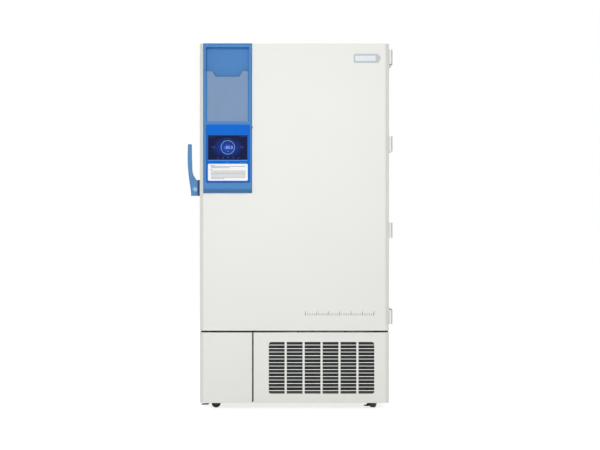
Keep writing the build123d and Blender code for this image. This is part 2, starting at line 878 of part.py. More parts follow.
inner_axis_x = chamber_right_x - inner_axis_inset
inner_front_y = cabinet_front_y + inner_door_setback
inner_edge_radius = inner_axis_inset - inner_wall_gap
inner_axis_y = inner_front_y + inner_edge_radius
inner_back_y = inner_front_y + inner_door_thickness
mullion_z = (chamber_floor_z + chamber_top_z) / 2
mullion_z_span = (mullion_z - mullion_height / 2, mullion_z + mullion_height / 2)
bracket_x = (chamber_right_x - bracket_width, chamber_right_x)
bracket_y = (inner_axis_y - bracket_depth / 2, inner_axis_y + bracket_depth / 2)
inner_door_x = (chamber_left_x + inner_door_side_gap, inner_axis_x + inner_edge_radius)

inner_door_spans = {
    "inner_door_lower": (
        chamber_floor_z + inner_door_end_gap,
        mullion_z_span[0] - (inner_door_end_gap - bracket_thickness),
    ),
    "inner_door_upper": (
        mullion_z_span[1] + (inner_door_end_gap - bracket_thickness),
        chamber_top_z - inner_door_end_gap,
    ),
}

with BuildPart() as inner_door_frame:
    block(
        (chamber_left_x, chamber_right_x),
        (inner_front_y, inner_front_y + mullion_depth),
        mullion_z_span,
    )
    block(bracket_x, bracket_y, (chamber_floor_z, chamber_floor_z + bracket_thickness))
    block(bracket_x, bracket_y, (chamber_top_z - bracket_thickness, chamber_top_z))
    for pin_bottom_z in (
        chamber_floor_z + bracket_thickness,
        mullion_z_span[0] - inner_pin_length,
        mullion_z_span[1],
        chamber_top_z - bracket_thickness - inner_pin_length,
    ):
        with Locations((inner_axis_x, inner_axis_y, pin_bottom_z + inner_pin_length / 2)):
            Cylinder(inner_pin_radius, inner_pin_length)
save(inner_door_frame.part, "inner_door_frame")

for name, (low_z, high_z) in inner_door_spans.items():
    with BuildPart() as inner_door:
        block(inner_door_x, (inner_front_y, inner_back_y), (low_z, high_z))
        hinge_edges = inner_door.edges().filter_by(Axis.Z).group_by(Axis.X)[-1]
        fillet(hinge_edges, radius=inner_edge_radius)
        fillet(inner_door.edges().filter_by(Axis.Y).group_by(Axis.X)[0], radius=inner_door_round)
        with Locations((inner_axis_x, inner_axis_y, (low_z + high_z) / 2)):
            Cylinder(inner_pin_radius + inner_pin_clearance, high_z - low_z, mode=Mode.SUBTRACT)
        pull_x = inner_door_x[0] + pull_inset
        pull_z = (low_z + high_z) / 2
        block(
            (pull_x, pull_x + pull_height),
            (inner_front_y - pull_reach, inner_front_y),
            (pull_z - pull_width / 2, pull_z + pull_width / 2),
        )
    save(inner_door.part, name)

# Lower front: a fixed panel on the left, and a grille door on two pivot pins
left_panel_width = 285
column_gap = 8
louvre_left_margin = 83
louvre_bottom_margin = 49
louvre_columns = 6
louvre_column_pitch = 97.4
louvre_width = 86
louvre_field_height = 282
louvre_bar_count = 7
louvre_bar_pitch = 38
louvre_bar_height = 4.6
lowest_bar_rise = 18.7
slat_height = 11
slat_depth = 7
slat_overlap = 9
louvre_field_round = 14
grille_axis_inset = 6
grille_pin_radius = 3
grille_pin_clearance = 0.05
grille_bracket_thickness = 5
grille_bracket_gap = 1
grille_arm_length = 22
grille_arm_half = 4
grille_stem_width = 9

left_panel_x = (left_x, left_x + left_panel_width)
grille_x = (left_panel_x[1] + column_gap, right_x)
panel_height = panel_top_z - panel_bottom_z
grille_axis_x = right_x - grille_axis_inset
grille_axis_y = pan_back_y - grille_axis_inset

with BuildPart() as lower_left_panel:
    with BuildSketch(Plane.XY.offset(panel_bottom_z)):
        Polygon(
            *bevelled_points(left_panel_x, (door_face_y, cheek_front_y), bevel_high=False),
            align=None,
        )
    extrude(amount=panel_height)
    offset(amount=-sheet, openings=lower_left_panel.faces().sort_by(Axis.Y)[-1])
save(lower_left_panel.part, "lower_left_panel")

louvre_field_width = (louvre_columns - 1) * louvre_column_pitch + louvre_width
louvre_x = grille_x[0] + louvre_left_margin + louvre_field_width / 2
louvre_bottom_z = panel_bottom_z + louvre_bottom_margin
louvre_z = louvre_bottom_z + louvre_field_height / 2
lowest_bar_z = louvre_bottom_z + lowest_bar_rise
bars_middle_z = lowest_bar_z + (louvre_bar_count - 1) * louvre_bar_pitch / 2

with BuildPart() as grille_door:
    with BuildSketch(Plane.XY.offset(panel_bottom_z)):
        Polygon(
            *bevelled_points(grille_x, (door_face_y, pan_back_y), bevel_low=False),
            align=None,
        )
    extrude(amount=panel_height)
    offset(amount=-sheet, openings=grille_door.faces().sort_by(Axis.Y)[-1])
    with BuildSketch(Plane.XZ.offset(-door_face_y)):
        with Locations((louvre_x, louvre_z)):
            with GridLocations(louvre_column_pitch, 0, louvre_columns, 1):
                Rectangle(louvre_width, louvre_field_height)
            RectangleRounded(
                louvre_field_width,
                louvre_field_height,
                louvre_field_round,
                mode=Mode.INTERSECT,
            )
        with Locations((louvre_x, bars_middle_z)):
            with GridLocations(0, louvre_bar_pitch, 1, louvre_bar_count):
                Rectangle(louvre_field_width, louvre_bar_height, mode=Mode.SUBTRACT)
    extrude(amount=-sheet, mode=Mode.SUBTRACT)
    with BuildSketch(Plane.XY.offset(panel_bottom_z)):
        with Locations((grille_axis_x, grille_axis_y)):
            Circle(grille_pin_radius + grille_pin_clearance)
    extrude(amount=panel_height, mode=Mode.SUBTRACT)
save(grille_door.part, "grille_door")

# Channel slats behind the grille's bars, one in the middle of each opening
slat_x = (
    louvre_x - louvre_field_width / 2 - slat_overlap,
    louvre_x + louvre_field_width / 2 + slat_overlap,
)
slat_front_y = door_face_y + sheet
slat_back_y = slat_front_y + slat_depth

with BuildPart() as grille_slats:
    for row in range(louvre_bar_count + 1):
        slat_z = lowest_bar_z + (row - 1 / 2) * louvre_bar_pitch
        slat_low_z, slat_high_z = slat_z - slat_height / 2, slat_z + slat_height / 2
        block(slat_x, (slat_front_y, slat_back_y), (slat_low_z, slat_high_z))
        block(
            slat_x,
            (slat_front_y + sheet, slat_back_y),
            (slat_low_z + sheet, slat_high_z - sheet),
            mode=Mode.SUBTRACT,
        )
save(grille_slats.part, "grille_slats")

# Chassis under the cabinet: a floor plate with lips, side rails, posts, caster pads and
# the brackets of the grille door
plate_thickness = 3
lip_height = 14
rail_size = 40
post_inset = 4
pad_thickness = 4
pad_length = 90
pad_width = 70
front_caster_inset_y = 109
rear_caster_inset_y = 75
wheel_inset_x = 84
caster_trail = 18
swivel_pin_radius = 5
swivel_pin_length = 12
left_caster_angle = 0
right_caster_angle = 60
rear_caster_angle = 90

chassis_top_z = chassis_bottom_z + plate_thickness
rail_top_z = chassis_top_z + rail_size
pad_bottom_z = chassis_bottom_z - pad_thickness
left_rail_x = (foam_left_x, foam_left_x + rail_size)
right_rail_x = (foam_right_x - rail_size, foam_right_x)
front_caster_y = door_face_y + front_caster_inset_y
rear_caster_y = cabinet_back_y - rear_caster_inset_y
left_wheel_x = left_x + wheel_inset_x
right_wheel_x = right_x - wheel_inset_x


def swivel_place(wheel_x, wheel_y, angle):
    """Swivel axis and angle of the caster whose wheel stands at a place on the floor."""
    trail_x = caster_trail * math.cos(math.radians(angle))
    trail_y = caster_trail * math.sin(math.radians(angle))
    return (wheel_x + trail_x, wheel_y + trail_y), angle


casters = {
    "front_left": swivel_place(left_wheel_x, front_caster_y, left_caster_angle),
    "front_right": swivel_place(right_wheel_x, front_caster_y, right_caster_angle),
    "rear_left": swivel_place(left_wheel_x, rear_caster_y, rear_caster_angle),
    "rear_right": swivel_place(right_wheel_x, rear_caster_y, rear_caster_angle),
}

with BuildPart() as base_frame:
    block(
        (foam_left_x, foam_right_x),
        (cheek_front_y, foam_back_y),
        (chassis_bottom_z, chassis_top_z),
    )
    for lip_y in (
        (cheek_front_y, cheek_front_y + plate_thickness),
        (foam_back_y - plate_thickness, foam_back_y),
    ):
        block(
            (foam_left_x, foam_right_x),
            lip_y,
            (chassis_top_z, chassis_top_z + lip_height),
        )
    for rail_x in (left_rail_x, right_rail_x):
        block(rail_x, (cheek_front_y, foam_back_y), (chassis_top_z, rail_top_z))
        for post_y in (
            (breaker_front_y + post_inset, breaker_front_y + post_inset + rail_size),
            (foam_back_y - rail_size, foam_back_y),
        ):
            block(rail_x, post_y, (rail_top_z, box_bottom_z))
    for (swivel_x, swivel_y), angle in casters.values():
        with Locations((swivel_x, swivel_y, (pad_bottom_z + chassis_bottom_z) / 2)):
            Box(pad_length, pad_width, pad_thickness)
        with Locations((swivel_x, swivel_y, pad_bottom_z - swivel_pin_length / 2)):
            Cylinder(swivel_pin_radius, swivel_pin_length)
    arm_x = (grille_axis_x - grille_arm_length, grille_axis_x)
    arm_y = (grille_axis_y - grille_arm_half, grille_axis_y + grille_arm_half)
    stem_x = (arm_x[0], arm_x[0] + grille_stem_width)
    skin_gap = sheet + grille_bracket_gap
    low_arm_z = (
        panel_bottom_z + skin_gap,
        panel_bottom_z + skin_gap + grille_bracket_thickness,
    )
    high_arm_z = (
        panel_top_z - skin_gap - grille_bracket_thickness,
        panel_top_z - skin_gap,
    )
    for arm_z, pin_z in (
        (low_arm_z, (panel_bottom_z, low_arm_z[0])),
        (high_arm_z, (high_arm_z[1], panel_top_z)),
    ):
        block(arm_x, arm_y, arm_z)
        with Locations((grille_axis_x, grille_axis_y, (arm_z[0] + arm_z[1]) / 2)):
            Cylinder(grille_arm_half, grille_bracket_thickness)
        with Locations((grille_axis_x, grille_axis_y, (pin_z[0] + pin_z[1]) / 2)):
            Cylinder(grille_pin_radius, pin_z[1] - pin_z[0])
    stem_join_y = (arm_y[0], cheek_front_y)
    block(stem_x, stem_join_y, low_arm_z)
    block(stem_x, (arm_y[0], breaker_front_y + post_inset), high_arm_z)
    block(
        stem_x,
        (cheek_front_y, cheek_front_y + plate_thickness),
        (low_arm_z[0], rail_top_z),
    )
    block(
        stem_x,
        (breaker_front_y, breaker_front_y + post_inset),
        (high_arm_z[0], box_bottom_z),
    )
save(base_frame.part, "base_frame")

# Compressors of the two cooling stages, on rubber feet that stand on the floor plate
shell_radius = 105
shell_height = 235
dome_height = 55
foot_height = 16
foot_radius = 13
foot_spacing = 170
foot_plate = 4
foot_plate_width = 200
stub_radius = 8
stub_length = 18
stub_offset = 40
stage_inset = 185
stage_spacing = 270
first_stage_y = 20
second_stage_y = 60
first_stage_place = (right_x - stage_inset - stage_spacing, first_stage_y)
second_stage_place = (right_x - stage_inset, second_stage_y)
foot_plate_z = chassis_top_z + foot_height
shell_top_z = foot_plate_z + foot_plate + shell_height
stub_top_z = shell_top_z + stub_length

for name, (place_x, place_y) in (
    ("compressor_first_stage", first_stage_place),
    ("compressor_second_stage", second_stage_place),
):
    with BuildPart() as compressor:
        with BuildSketch(Plane.XY.offset(chassis_top_z)):
            with Locations((place_x, place_y)):
                with GridLocations(foot_spacing, foot_spacing, 2, 2):
                    Circle(foot_radius)
        extrude(amount=foot_height)
        with BuildSketch(Plane.XY.offset(foot_plate_z)):
            with Locations((place_x, place_y)):
                RectangleRounded(foot_plate_width, foot_plate_width, foot_radius)
        extrude(amount=foot_plate)
        with BuildSketch(Plane.XY.offset(foot_plate_z + foot_plate)):
            with Locations((place_x, place_y)):
                Circle(shell_radius)
        extrude(amount=shell_height)
        fillet(compressor.edges().group_by(Axis.Z)[-1], radius=dome_height)
        with BuildSketch(Plane.XY.offset(stub_top_z)):
            with Locations((place_x - stub_offset, place_y), (place_x + stub_offset, place_y)):
                Circle(stub_radius)
        extrude(amount=-stub_length - dome_height / 2)
    save(compressor.part, name)

# Condenser behind the grille, with a filter in front and a fan behind
condenser_left = -145
condenser_width = 590
condenser_height = 300
condenser_depth = 54
condenser_frame = 6
core_inset = 5
filter_thickness = 8
filter_gap = 2
fan_offset_x = 150
fan_height = 158
shroud_thickness = 2
shroud_ring_length = 40
shroud_ring_wall = 2
shroud_opening_radius = 138
fan_radius = 128
fan_hub_radius = 32
fan_hub_length = 34
blade_count = 5
blade_chord = 84
blade_thickness = 3
blade_pitch = 25
shaft_radius = 4
shaft_clearance = 0.05
motor_radius = 45
motor_length = 70
motor_edge_round = 8
motor_arm_angles = (45, 135)
arm_thickness = 5
arm_width = 16

condenser_x = (middle_x + condenser_left, middle_x + condenser_left + condenser_width)
filter_y = (
    cheek_front_y + plate_thickness + filter_gap,
    cheek_front_y + plate_thickness + filter_gap + filter_thickness,
)
condenser_y = (filter_y[1], filter_y[1] + condenser_depth)
condenser_z = (chassis_top_z, chassis_top_z + condenser_height)
fan_x = middle_x + fan_offset_x
fan_z = chassis_top_z + fan_height
ring_back_y = condenser_y[1] + shroud_ring_length
fan_y = (condenser_y[1] + ring_back_y) / 2

with BuildPart() as condenser_coil:
    block(condenser_x, condenser_y, condenser_z)
    inner_x = (condenser_x[0] + condenser_frame, condenser_x[1] - condenser_frame)
    inner_z = (condenser_z[0] + condenser_frame, condenser_z[1] - condenser_frame)
    for recess_y in (
        (condenser_y[0], condenser_y[0] + core_inset),
        (condenser_y[1] - core_inset, condenser_y[1]),
    ):
        block(inner_x, recess_y, inner_z, mode=Mode.SUBTRACT)
save(condenser_coil.part, "condenser_coil")

with BuildPart() as air_filter:
    block(condenser_x, filter_y, condenser_z)
save(air_filter.part, "air_filter")

fan_plane = Plane(origin=(fan_x, condenser_y[1], fan_z), z_dir=(0, 1, 0))

with BuildPart() as fan_shroud:
    block(condenser_x, (condenser_y[1], condenser_y[1] + shroud_thickness), condenser_z)
    with BuildSketch(fan_plane):
        Circle(shroud_opening_radius + shroud_ring_wall)
    extrude(amount=shroud_ring_length)
    with BuildSketch(fan_plane):
        Circle(shroud_opening_radius)
    extrude(amount=shroud_ring_length, mode=Mode.SUBTRACT)
save(fan_shroud.part, "fan_shroud")

with BuildPart() as fan_motor:
    with BuildSketch(fan_plane.offset(shroud_ring_length)):
        Circle(motor_radius)
        for angle in motor_arm_angles:
            Rectangle(2 * shroud_opening_radius + shroud_ring_wall, arm_width, rotation=angle)
    extrude(amount=arm_thickness)
    with BuildSketch(fan_plane.offset(shroud_ring_length + arm_thickness)):
        Circle(motor_radius)
    extrude(amount=motor_length)
    fillet(fan_motor.edges().group_by(Axis.Y)[-1], radius=motor_edge_round)
    with BuildSketch(fan_plane.offset(shroud_ring_length)):
        Circle(shaft_radius)
    extrude(amount=-fan_hub_length / 2)
save(fan_motor.part, "fan_motor")

blade_middle = (fan_radius + fan_hub_radius / 2) / 2
blade_length = fan_radius - fan_hub_radius / 2
fan_middle_plane = Plane(origin=(fan_x, fan_y, fan_z), z_dir=(0, 1, 0))

with BuildPart(fan_middle_plane) as fan_blades:
    Cylinder(fan_hub_radius, fan_hub_length)
    with PolarLocations(blade_middle, blade_count):
        Box(blade_length, blade_chord, blade_thickness, rotation=(blade_pitch, 0, 0))
    Cylinder(shaft_radius + shaft_clearance, fan_hub_length, mode=Mode.SUBTRACT)
save(fan_blades.part, "fan_blades")

# Cascade heat exchanger between the two stages, foamed, on the floor plate
exchanger_inset = 130
exchanger_width = 160
exchanger_front_y = -120
exchanger_depth = 300
exchanger_round = 12
exchanger_x = (left_x + exchanger_inset, left_x + exchanger_inset + exchanger_width)
exchanger_y = (exchanger_front_y, exchanger_front_y + exchanger_depth)
exchanger_height = 290
exchanger_top_z = chassis_top_z + exchanger_height

with BuildPart() as heat_exchanger:
    block(exchanger_x, exchanger_y, (chassis_top_z, exchanger_top_z))
    fillet(heat_exchanger.edges().filter_by(Axis.Z), radius=exchanger_round)
save(heat_exchanger.part, "heat_exchanger")

# Copper pipes between the compressors, the condenser, the exchanger and the cabinet
pipe_radius = 5
pipe_bend = 16
pipe_rise = 30
pipe_step = 14
exchanger_middle_x = (exchanger_x[0] + exchanger_x[1]) / 2
condenser_middle_y = (condenser_y[0] + condenser_y[1]) / 2
low_run_z = exchanger_top_z + pipe_rise
high_run_z = low_run_z + pipe_step
first_suction_x = first_stage_place[0] - stub_offset
first_discharge_x = first_stage_place[0] + stub_offset
second_suction_x = second_stage_place[0] - stub_offset
riser_inset = 40

pipe_runs = [
    [
        (first_discharge_x, first_stage_place[1], stub_top_z),
        (first_discharge_x, first_stage_place[1], low_run_z),
        (first_discharge_x, condenser_middle_y, low_run_z),
        (first_discharge_x, condenser_middle_y, condenser_z[1]),
    ],
    [
        (first_suction_x, first_stage_place[1], stub_top_z),
        (first_suction_x, first_stage_place[1], low_run_z),
        (exchanger_middle_x, first_stage_place[1], low_run_z),
        (exchanger_middle_x, first_stage_place[1], exchanger_top_z),
    ],
    [
        (second_suction_x, second_stage_place[1], stub_top_z),
        (second_suction_x, second_stage_place[1], high_run_z),
        (second_suction_x, exchanger_y[1] - riser_inset, high_run_z),
        (exchanger_middle_x, exchanger_y[1] - riser_inset, high_run_z),
        (exchanger_middle_x, exchanger_y[1] - riser_inset, exchanger_top_z),
    ],
]

with BuildPart() as refrigerant_pipes:
    for pipe_run in pipe_runs:
        with BuildLine() as pipe_path:
            FilletPolyline(*pipe_run, radius=pipe_bend)
        with BuildSketch(Plane(origin=pipe_path.line @ 0, z_dir=pipe_path.line % 0)):
            Circle(pipe_radius)
        sweep(path=pipe_path.line)
    with Locations(
        (
            exchanger_middle_x,
            exchanger_y[0] + riser_inset,
            (exchanger_top_z + box_bottom_z) / 2,
        )
    ):
        Cylinder(pipe_radius, box_bottom_z - exchanger_top_z)
save(refrigerant_pipes.part, "refrigerant_pipes")

# Backup battery and the power entry with its rocker switch
battery_inset = 55
battery_width = 160
battery_front_gap = 23
battery_depth = 115
battery_height = 120
battery_round = 4
entry_width = 110
entry_height = 90
entry_plate = 3
entry_depth = 70
entry_inset_x = 60
entry_bottom_z = 170
inlet_width = 34
inlet_height = 26
inlet_depth = 22
inlet_offset_x = 22
inlet_corner_round = 3
contact_width = 2
contact_height = 6
contact_length = 16
contact_count = 3
contact_spacing = 10
rocker_offset_x = -28
rocker_width = 20
rocker_height = 28
rocker_depth = 12
rocker_side_clearance = 0.5
rocker_end_clearance = 1.5
rocker_proud = 2
rocker_round = 2
rocker_pin_radius = 1.5
rocker_pin_clearance = 0.05

battery_front_y = cheek_front_y + battery_front_gap
battery_x = (left_x + battery_inset, left_x + battery_inset + battery_width)
battery_y = (battery_front_y, battery_front_y + battery_depth)

with BuildPart() as backup_battery:
    block(battery_x, battery_y, (chassis_top_z, chassis_top_z + battery_height))
    fillet(backup_battery.edges().filter_by(Axis.Z), radius=battery_round)
save(backup_battery.part, "backup_battery")

entry_x = (left_x + entry_inset_x, left_x + entry_inset_x + entry_width)
entry_z = (entry_bottom_z, entry_bottom_z + entry_height)
entry_back_y = cabinet_back_y + entry_plate
entry_middle = ((entry_x[0] + entry_x[1]) / 2, (entry_z[0] + entry_z[1]) / 2)
entry_box_x = (entry_x[0] + entry_plate, entry_x[1] - entry_plate)
entry_box_z = (entry_z[0] + entry_plate, entry_z[1] - entry_plate)
rocker_x = (
    entry_middle[0] + rocker_offset_x - rocker_width / 2,
    entry_middle[0] + rocker_offset_x + rocker_width / 2,
)
rocker_back_y = entry_back_y + rocker_proud
rocker_pin_y = rocker_back_y - rocker_depth / 2
inlet_middle = (entry_middle[0] + inlet_offset_x, entry_middle[1])

with BuildPart() as power_inlet:
    block(entry_x, (cabinet_back_y, entry_back_y), entry_z)
    block(entry_box_x, (cabinet_back_y - entry_depth, cabinet_back_y), entry_box_z)
    block(
        (rocker_x[0] - rocker_side_clearance, rocker_x[1] + rocker_side_clearance),
        (rocker_back_y - rocker_depth - rocker_proud, entry_back_y),
        (
            entry_middle[1] - rocker_height / 2 - rocker_end_clearance,
            entry_middle[1] + rocker_height / 2 + rocker_end_clearance,
        ),
        mode=Mode.SUBTRACT,
    )
    with Locations(((rocker_x[0] + rocker_x[1]) / 2, rocker_pin_y, entry_middle[1])):
        Cylinder(
            rocker_pin_radius,
            rocker_width + 2 * rocker_side_clearance,
            rotation=(0, 90, 0),
        )
    with BuildSketch(Plane.XZ.offset(-entry_back_y)):
        with Locations(inlet_middle):
            RectangleRounded(inlet_width, inlet_height, inlet_corner_round)
    extrude(amount=inlet_depth, mode=Mode.SUBTRACT)
    with BuildSketch(Plane.XZ.offset(-(entry_back_y - inlet_depth))):
        with Locations(inlet_middle):
            with GridLocations(contact_spacing, 0, contact_count, 1):
                Rectangle(contact_width, contact_height)
    extrude(amount=-contact_length)
save(power_inlet.part, "power_inlet")

with BuildPart() as rocker_switch:
    block(
        rocker_x,
        (rocker_back_y - rocker_depth, rocker_back_y),
        (entry_middle[1] - rocker_height / 2, entry_middle[1] + rocker_height / 2),
    )
    fillet(rocker_switch.edges().filter_by(Axis.X), radius=rocker_round)
    with Locations(((rocker_x[0] + rocker_x[1]) / 2, rocker_pin_y, entry_middle[1])):
        Cylinder(
            rocker_pin_radius + rocker_pin_clearance,
            rocker_width,
            rotation=(0, 90, 0),
            mode=Mode.SUBTRACT,
        )
save(rocker_switch.part, "rocker_switch")

# Rear cover of the machine compartment, with a field of vent slots
vent_columns = 4
vent_rows = 12
vent_column_pitch = 130
vent_row_pitch = 20
vent_width = 110
vent_height = 8
vent_offset_x = 180
cover_edge_gap = 2
cover_z = (chassis_bottom_z + cover_edge_gap, box_bottom_z - cover_edge_gap)

with BuildPart() as rear_cover:
    block(inner_panel_x, (foam_back_y, cabinet_back_y), cover_z)
    block(
        (entry_box_x[0] - seam_gap, entry_box_x[1] + seam_gap),
        (foam_back_y, cabinet_back_y),
        (entry_box_z[0] - seam_gap, entry_box_z[1] + seam_gap),
        mode=Mode.SUBTRACT,
    )
    with BuildSketch(Plane.XZ.offset(-cabinet_back_y)):
        with Locations((middle_x + vent_offset_x, (cover_z[0] + cover_z[1]) / 2)):
            with GridLocations(vent_column_pitch, vent_row_pitch, vent_columns, vent_rows):
                SlotOverall(vent_width, vent_height)
    extrude(amount=sheet, mode=Mode.SUBTRACT)
save(rear_cover.part, "rear_cover")

# Rear bumpers keep the cabinet off the wall
bumper_radius = 22
bumper_inset = 110
bumper_spacing_x = cabinet_width - 2 * bumper_inset
bumper_spacing_z = foam_top_z - foam_bottom_z - 2 * bumper_inset
bumper_taper = 4

with BuildPart() as rear_bumpers:
    with BuildSketch(Plane.XZ.offset(-cabinet_back_y)):
        with Locations((middle_x, (foam_bottom_z + foam_top_z) / 2)):
            with GridLocations(bumper_spacing_x, bumper_spacing_z, 2, 2):
                Circle(bumper_radius)
    extrude(amount=-bumper_depth)
    chamfer(rear_bumpers.edges().group_by(Axis.Y)[-1], length=bumper_taper)
save(rear_bumpers.part, "rear_bumpers")

# Casters, drawn about their swivel axis with the wheel on the -X side, then placed
wheel_radius = 25
wheel_width = 26
wheel_round = 4
axle_radius = 4
axle_clearance = 0.05
fork_side_gap = 2
fork_sheet = 2.5
head_radius = 23
head_gap = 0.3
fork_top_z = 67
swivel_clearance = 0.05
pedal_pin_radius = 2.5
pedal_pin_clearance = 0.05
pedal_hub_radius = 5
pedal_pin_reach = 16
pedal_pin_z = 62
pedal_elbow = (44, 19)
pedal_tip = (78, 18)
pedal_thickness = 5
pedal_side_gap = 1

cheek_inner = wheel_width / 2 + fork_side_gap
cheek_outer = cheek_inner + fork_sheet
axle_place = (-caster_trail, wheel_radius)
pedal_pin_x = -caster_trail - pedal_pin_reach
head_top_z = pad_bottom_z - head_gap
fork_bridge = 4

with BuildPart() as caster_fork:
    with BuildSketch(Plane.XY.offset(fork_top_z)):
        Circle(head_radius)
    extrude(amount=head_top_z - fork_top_z)
    block(
        (-caster_trail + pedal_hub_radius, head_radius / 2),
        (-cheek_outer, cheek_outer),
        (fork_top_z - fork_bridge, fork_top_z + fork_bridge),
    )
    for cheek_y in (-cheek_outer, cheek_inner):
        with BuildSketch(Plane.XZ.offset(-cheek_y)) as cheek_outline:
            Polygon(
                (head_radius / 2, fork_top_z + fork_bridge),
                (pedal_pin_x - pedal_hub_radius, fork_top_z + fork_bridge),
                (pedal_pin_x - pedal_hub_radius, pedal_pin_z - pedal_hub_radius),
                (axle_place[0] - 2 * axle_radius, axle_place[1] - 2 * axle_radius),
                (axle_place[0] + 2 * axle_radius, axle_place[1] - 2 * axle_radius),
                align=None,
            )
            fillet(cheek_outline.vertices(), radius=2)
        extrude(amount=-fork_sheet)
    with Locations((axle_place[0], 0, axle_place[1])):
        Cylinder(axle_radius, 2 * cheek_outer, rotation=(90, 0, 0))
    with Locations((pedal_pin_x, 0, pedal_pin_z)):
        Cylinder(pedal_pin_radius, 2 * cheek_outer, rotation=(90, 0, 0))
    with Locations((0, 0, pad_bottom_z - swivel_pin_length / 2)):
        Cylinder(
            swivel_pin_radius + swivel_clearance,
            swivel_pin_length + swivel_clearance,
            mode=Mode.SUBTRACT,
        )

with BuildPart() as caster_wheel:
    with Locations((axle_place[0], 0, axle_place[1])):
        Cylinder(wheel_radius, wheel_width, rotation=(90, 0, 0))
        fillet(caster_wheel.edges(), radius=wheel_round)
        Cylinder(
            axle_radius + axle_clearance,
            wheel_width,
            rotation=(90, 0, 0),
            mode=Mode.SUBTRACT,
        )

with BuildPart() as brake_pedal:
    with BuildSketch(Plane.XZ.offset(cheek_inner - pedal_side_gap)):
        with BuildLine():
            Polyline(
                (pedal_pin_x, pedal_pin_z),
                (-caster_trail - pedal_elbow[0], pedal_elbow[1]),
                (-caster_trail - pedal_tip[0], pedal_tip[1]),
            )
            offset(amount=pedal_thickness / 2)
        make_face()
        with Locations((pedal_pin_x, pedal_pin_z)):
            Circle(pedal_hub_radius)
            Circle(pedal_pin_radius + pedal_pin_clearance, mode=Mode.SUBTRACT)
    extrude(amount=-2 * (cheek_inner - pedal_side_gap))

caster_places = {
    name: Location((x, y, 0), (0, 0, 1), angle)
    for name, ((x, y), angle) in casters.items()
}
for name, place in caster_places.items():
    save(caster_wheel.part.moved(place), f"caster_wheel_{name}")
for name in ("front_left", "front_right"):
    save(caster_fork.part.moved(caster_places[name]), f"caster_fork_{name}")
    save(brake_pedal.part.moved(caster_places[name]), f"brake_pedal_{name}")

with BuildPart() as caster_forks_rear:
    add(caster_fork.part.moved(caster_places["rear_left"]))
    add(caster_fork.part.moved(caster_places["rear_right"]))
save(caster_forks_rear.part, "caster_forks_rear")
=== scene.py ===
import json
import math

import bmesh
import bpy
from mathutils import Matrix, Vector


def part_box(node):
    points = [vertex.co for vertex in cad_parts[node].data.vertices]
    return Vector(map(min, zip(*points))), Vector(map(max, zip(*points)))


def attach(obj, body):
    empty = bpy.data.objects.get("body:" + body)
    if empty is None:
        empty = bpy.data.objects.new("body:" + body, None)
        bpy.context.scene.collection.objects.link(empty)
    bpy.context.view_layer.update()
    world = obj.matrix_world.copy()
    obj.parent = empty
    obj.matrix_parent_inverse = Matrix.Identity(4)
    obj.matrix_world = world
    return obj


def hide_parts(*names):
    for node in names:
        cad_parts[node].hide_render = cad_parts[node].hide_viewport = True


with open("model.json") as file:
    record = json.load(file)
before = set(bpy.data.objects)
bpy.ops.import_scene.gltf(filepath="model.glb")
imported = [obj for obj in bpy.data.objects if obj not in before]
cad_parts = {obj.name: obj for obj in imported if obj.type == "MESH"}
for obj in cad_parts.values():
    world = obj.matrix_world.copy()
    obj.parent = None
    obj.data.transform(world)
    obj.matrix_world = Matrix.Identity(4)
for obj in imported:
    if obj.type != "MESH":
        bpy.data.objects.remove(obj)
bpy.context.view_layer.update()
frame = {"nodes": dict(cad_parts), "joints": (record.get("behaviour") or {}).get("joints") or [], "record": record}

bl_info = {
    "name": "Ultra Low Temperature Freezer",
    "version": (1, 0, 0),
    "blender": (4, 5, 0),
    "location": "3D View > Sidebar > Freezer",
    "description": "Dresses an upright laboratory freezer in its finishes and fine detail",
    "category": "Add Mesh",
}

MM = 0.001
RIGHT, BACK, UP = Vector((1, 0, 0)), Vector((0, 1, 0)), Vector((0, 0, 1))
FRONT = Vector((0, -1, 0))
# How far thin strips and printed marks stand out from their face.
PROUD = 0.05 * MM
# Edges that turn by more than this are sharp, and get rounded.
SHARP = math.radians(32)
# A profile point this near to the axis is a point on it, in metres.
ON_AXIS = 1e-7
# Height of a type size over the height of its numerals.
TYPE_RATIO = 1.4
GRID_SEED = 7
BODY_OF = {
    node: body
    for body, nodes in frame["record"]["behaviour"]["bodies"].items()
    for node in nodes
}
SLOT_OF = {part["node"]: part["material_slot"] for part in frame["record"]["subparts"]}


def mm(*sizes):
    """A vector from sizes in millimetres."""
    return Vector([size * MM for size in sizes])


def linear(colour, shade=1.0):
    """An sRGB hex colour, or a linear colour property, as linear RGBA times a shade."""
    if isinstance(colour, str):
        parts = [int(colour[i : i + 2], 16) / 255 for i in (1, 3, 5)]
        colour = [c / 12.92 if c <= 0.04045 else ((c + 0.055) / 1.055) ** 2.4 for c in parts]
    return [c * shade for c in colour[:3]] + [1]


def add_node(tree, kind, inputs=None, **settings):
    """Add a node with its settings; each input takes a value, or an output socket to link."""
    node = tree.nodes.new(kind)
    for key, value in settings.items():
        setattr(node, key, value)
    for key, value in (inputs or {}).items():
        if isinstance(value, bpy.types.NodeSocket):
            tree.links.new(value, node.inputs[key])
        else:
            node.inputs[key].default_value = value
    return node


def maths(tree, operation, *terms):
    """The output socket of one sum on numbers or sockets."""
    node = add_node(tree, "ShaderNodeMath", dict(enumerate(terms)), operation=operation)
    return node.outputs["Value"]


def new_material(name, **shader_inputs):
    """A material with one Principled shader, returned as (material, tree, shader)."""
    material = bpy.data.materials.new(name)
    material.use_nodes = True
    tree = material.node_tree
    shader = tree.nodes["Principled BSDF"]
    for key, value in shader_inputs.items():
        shader.inputs[key.replace("_", " ")].default_value = value
    return material, tree, shader


def object_place(tree):
    """The socket of a point's place on the object, in metres."""
    return add_node(tree, "ShaderNodeTexCoord").outputs["Object"]


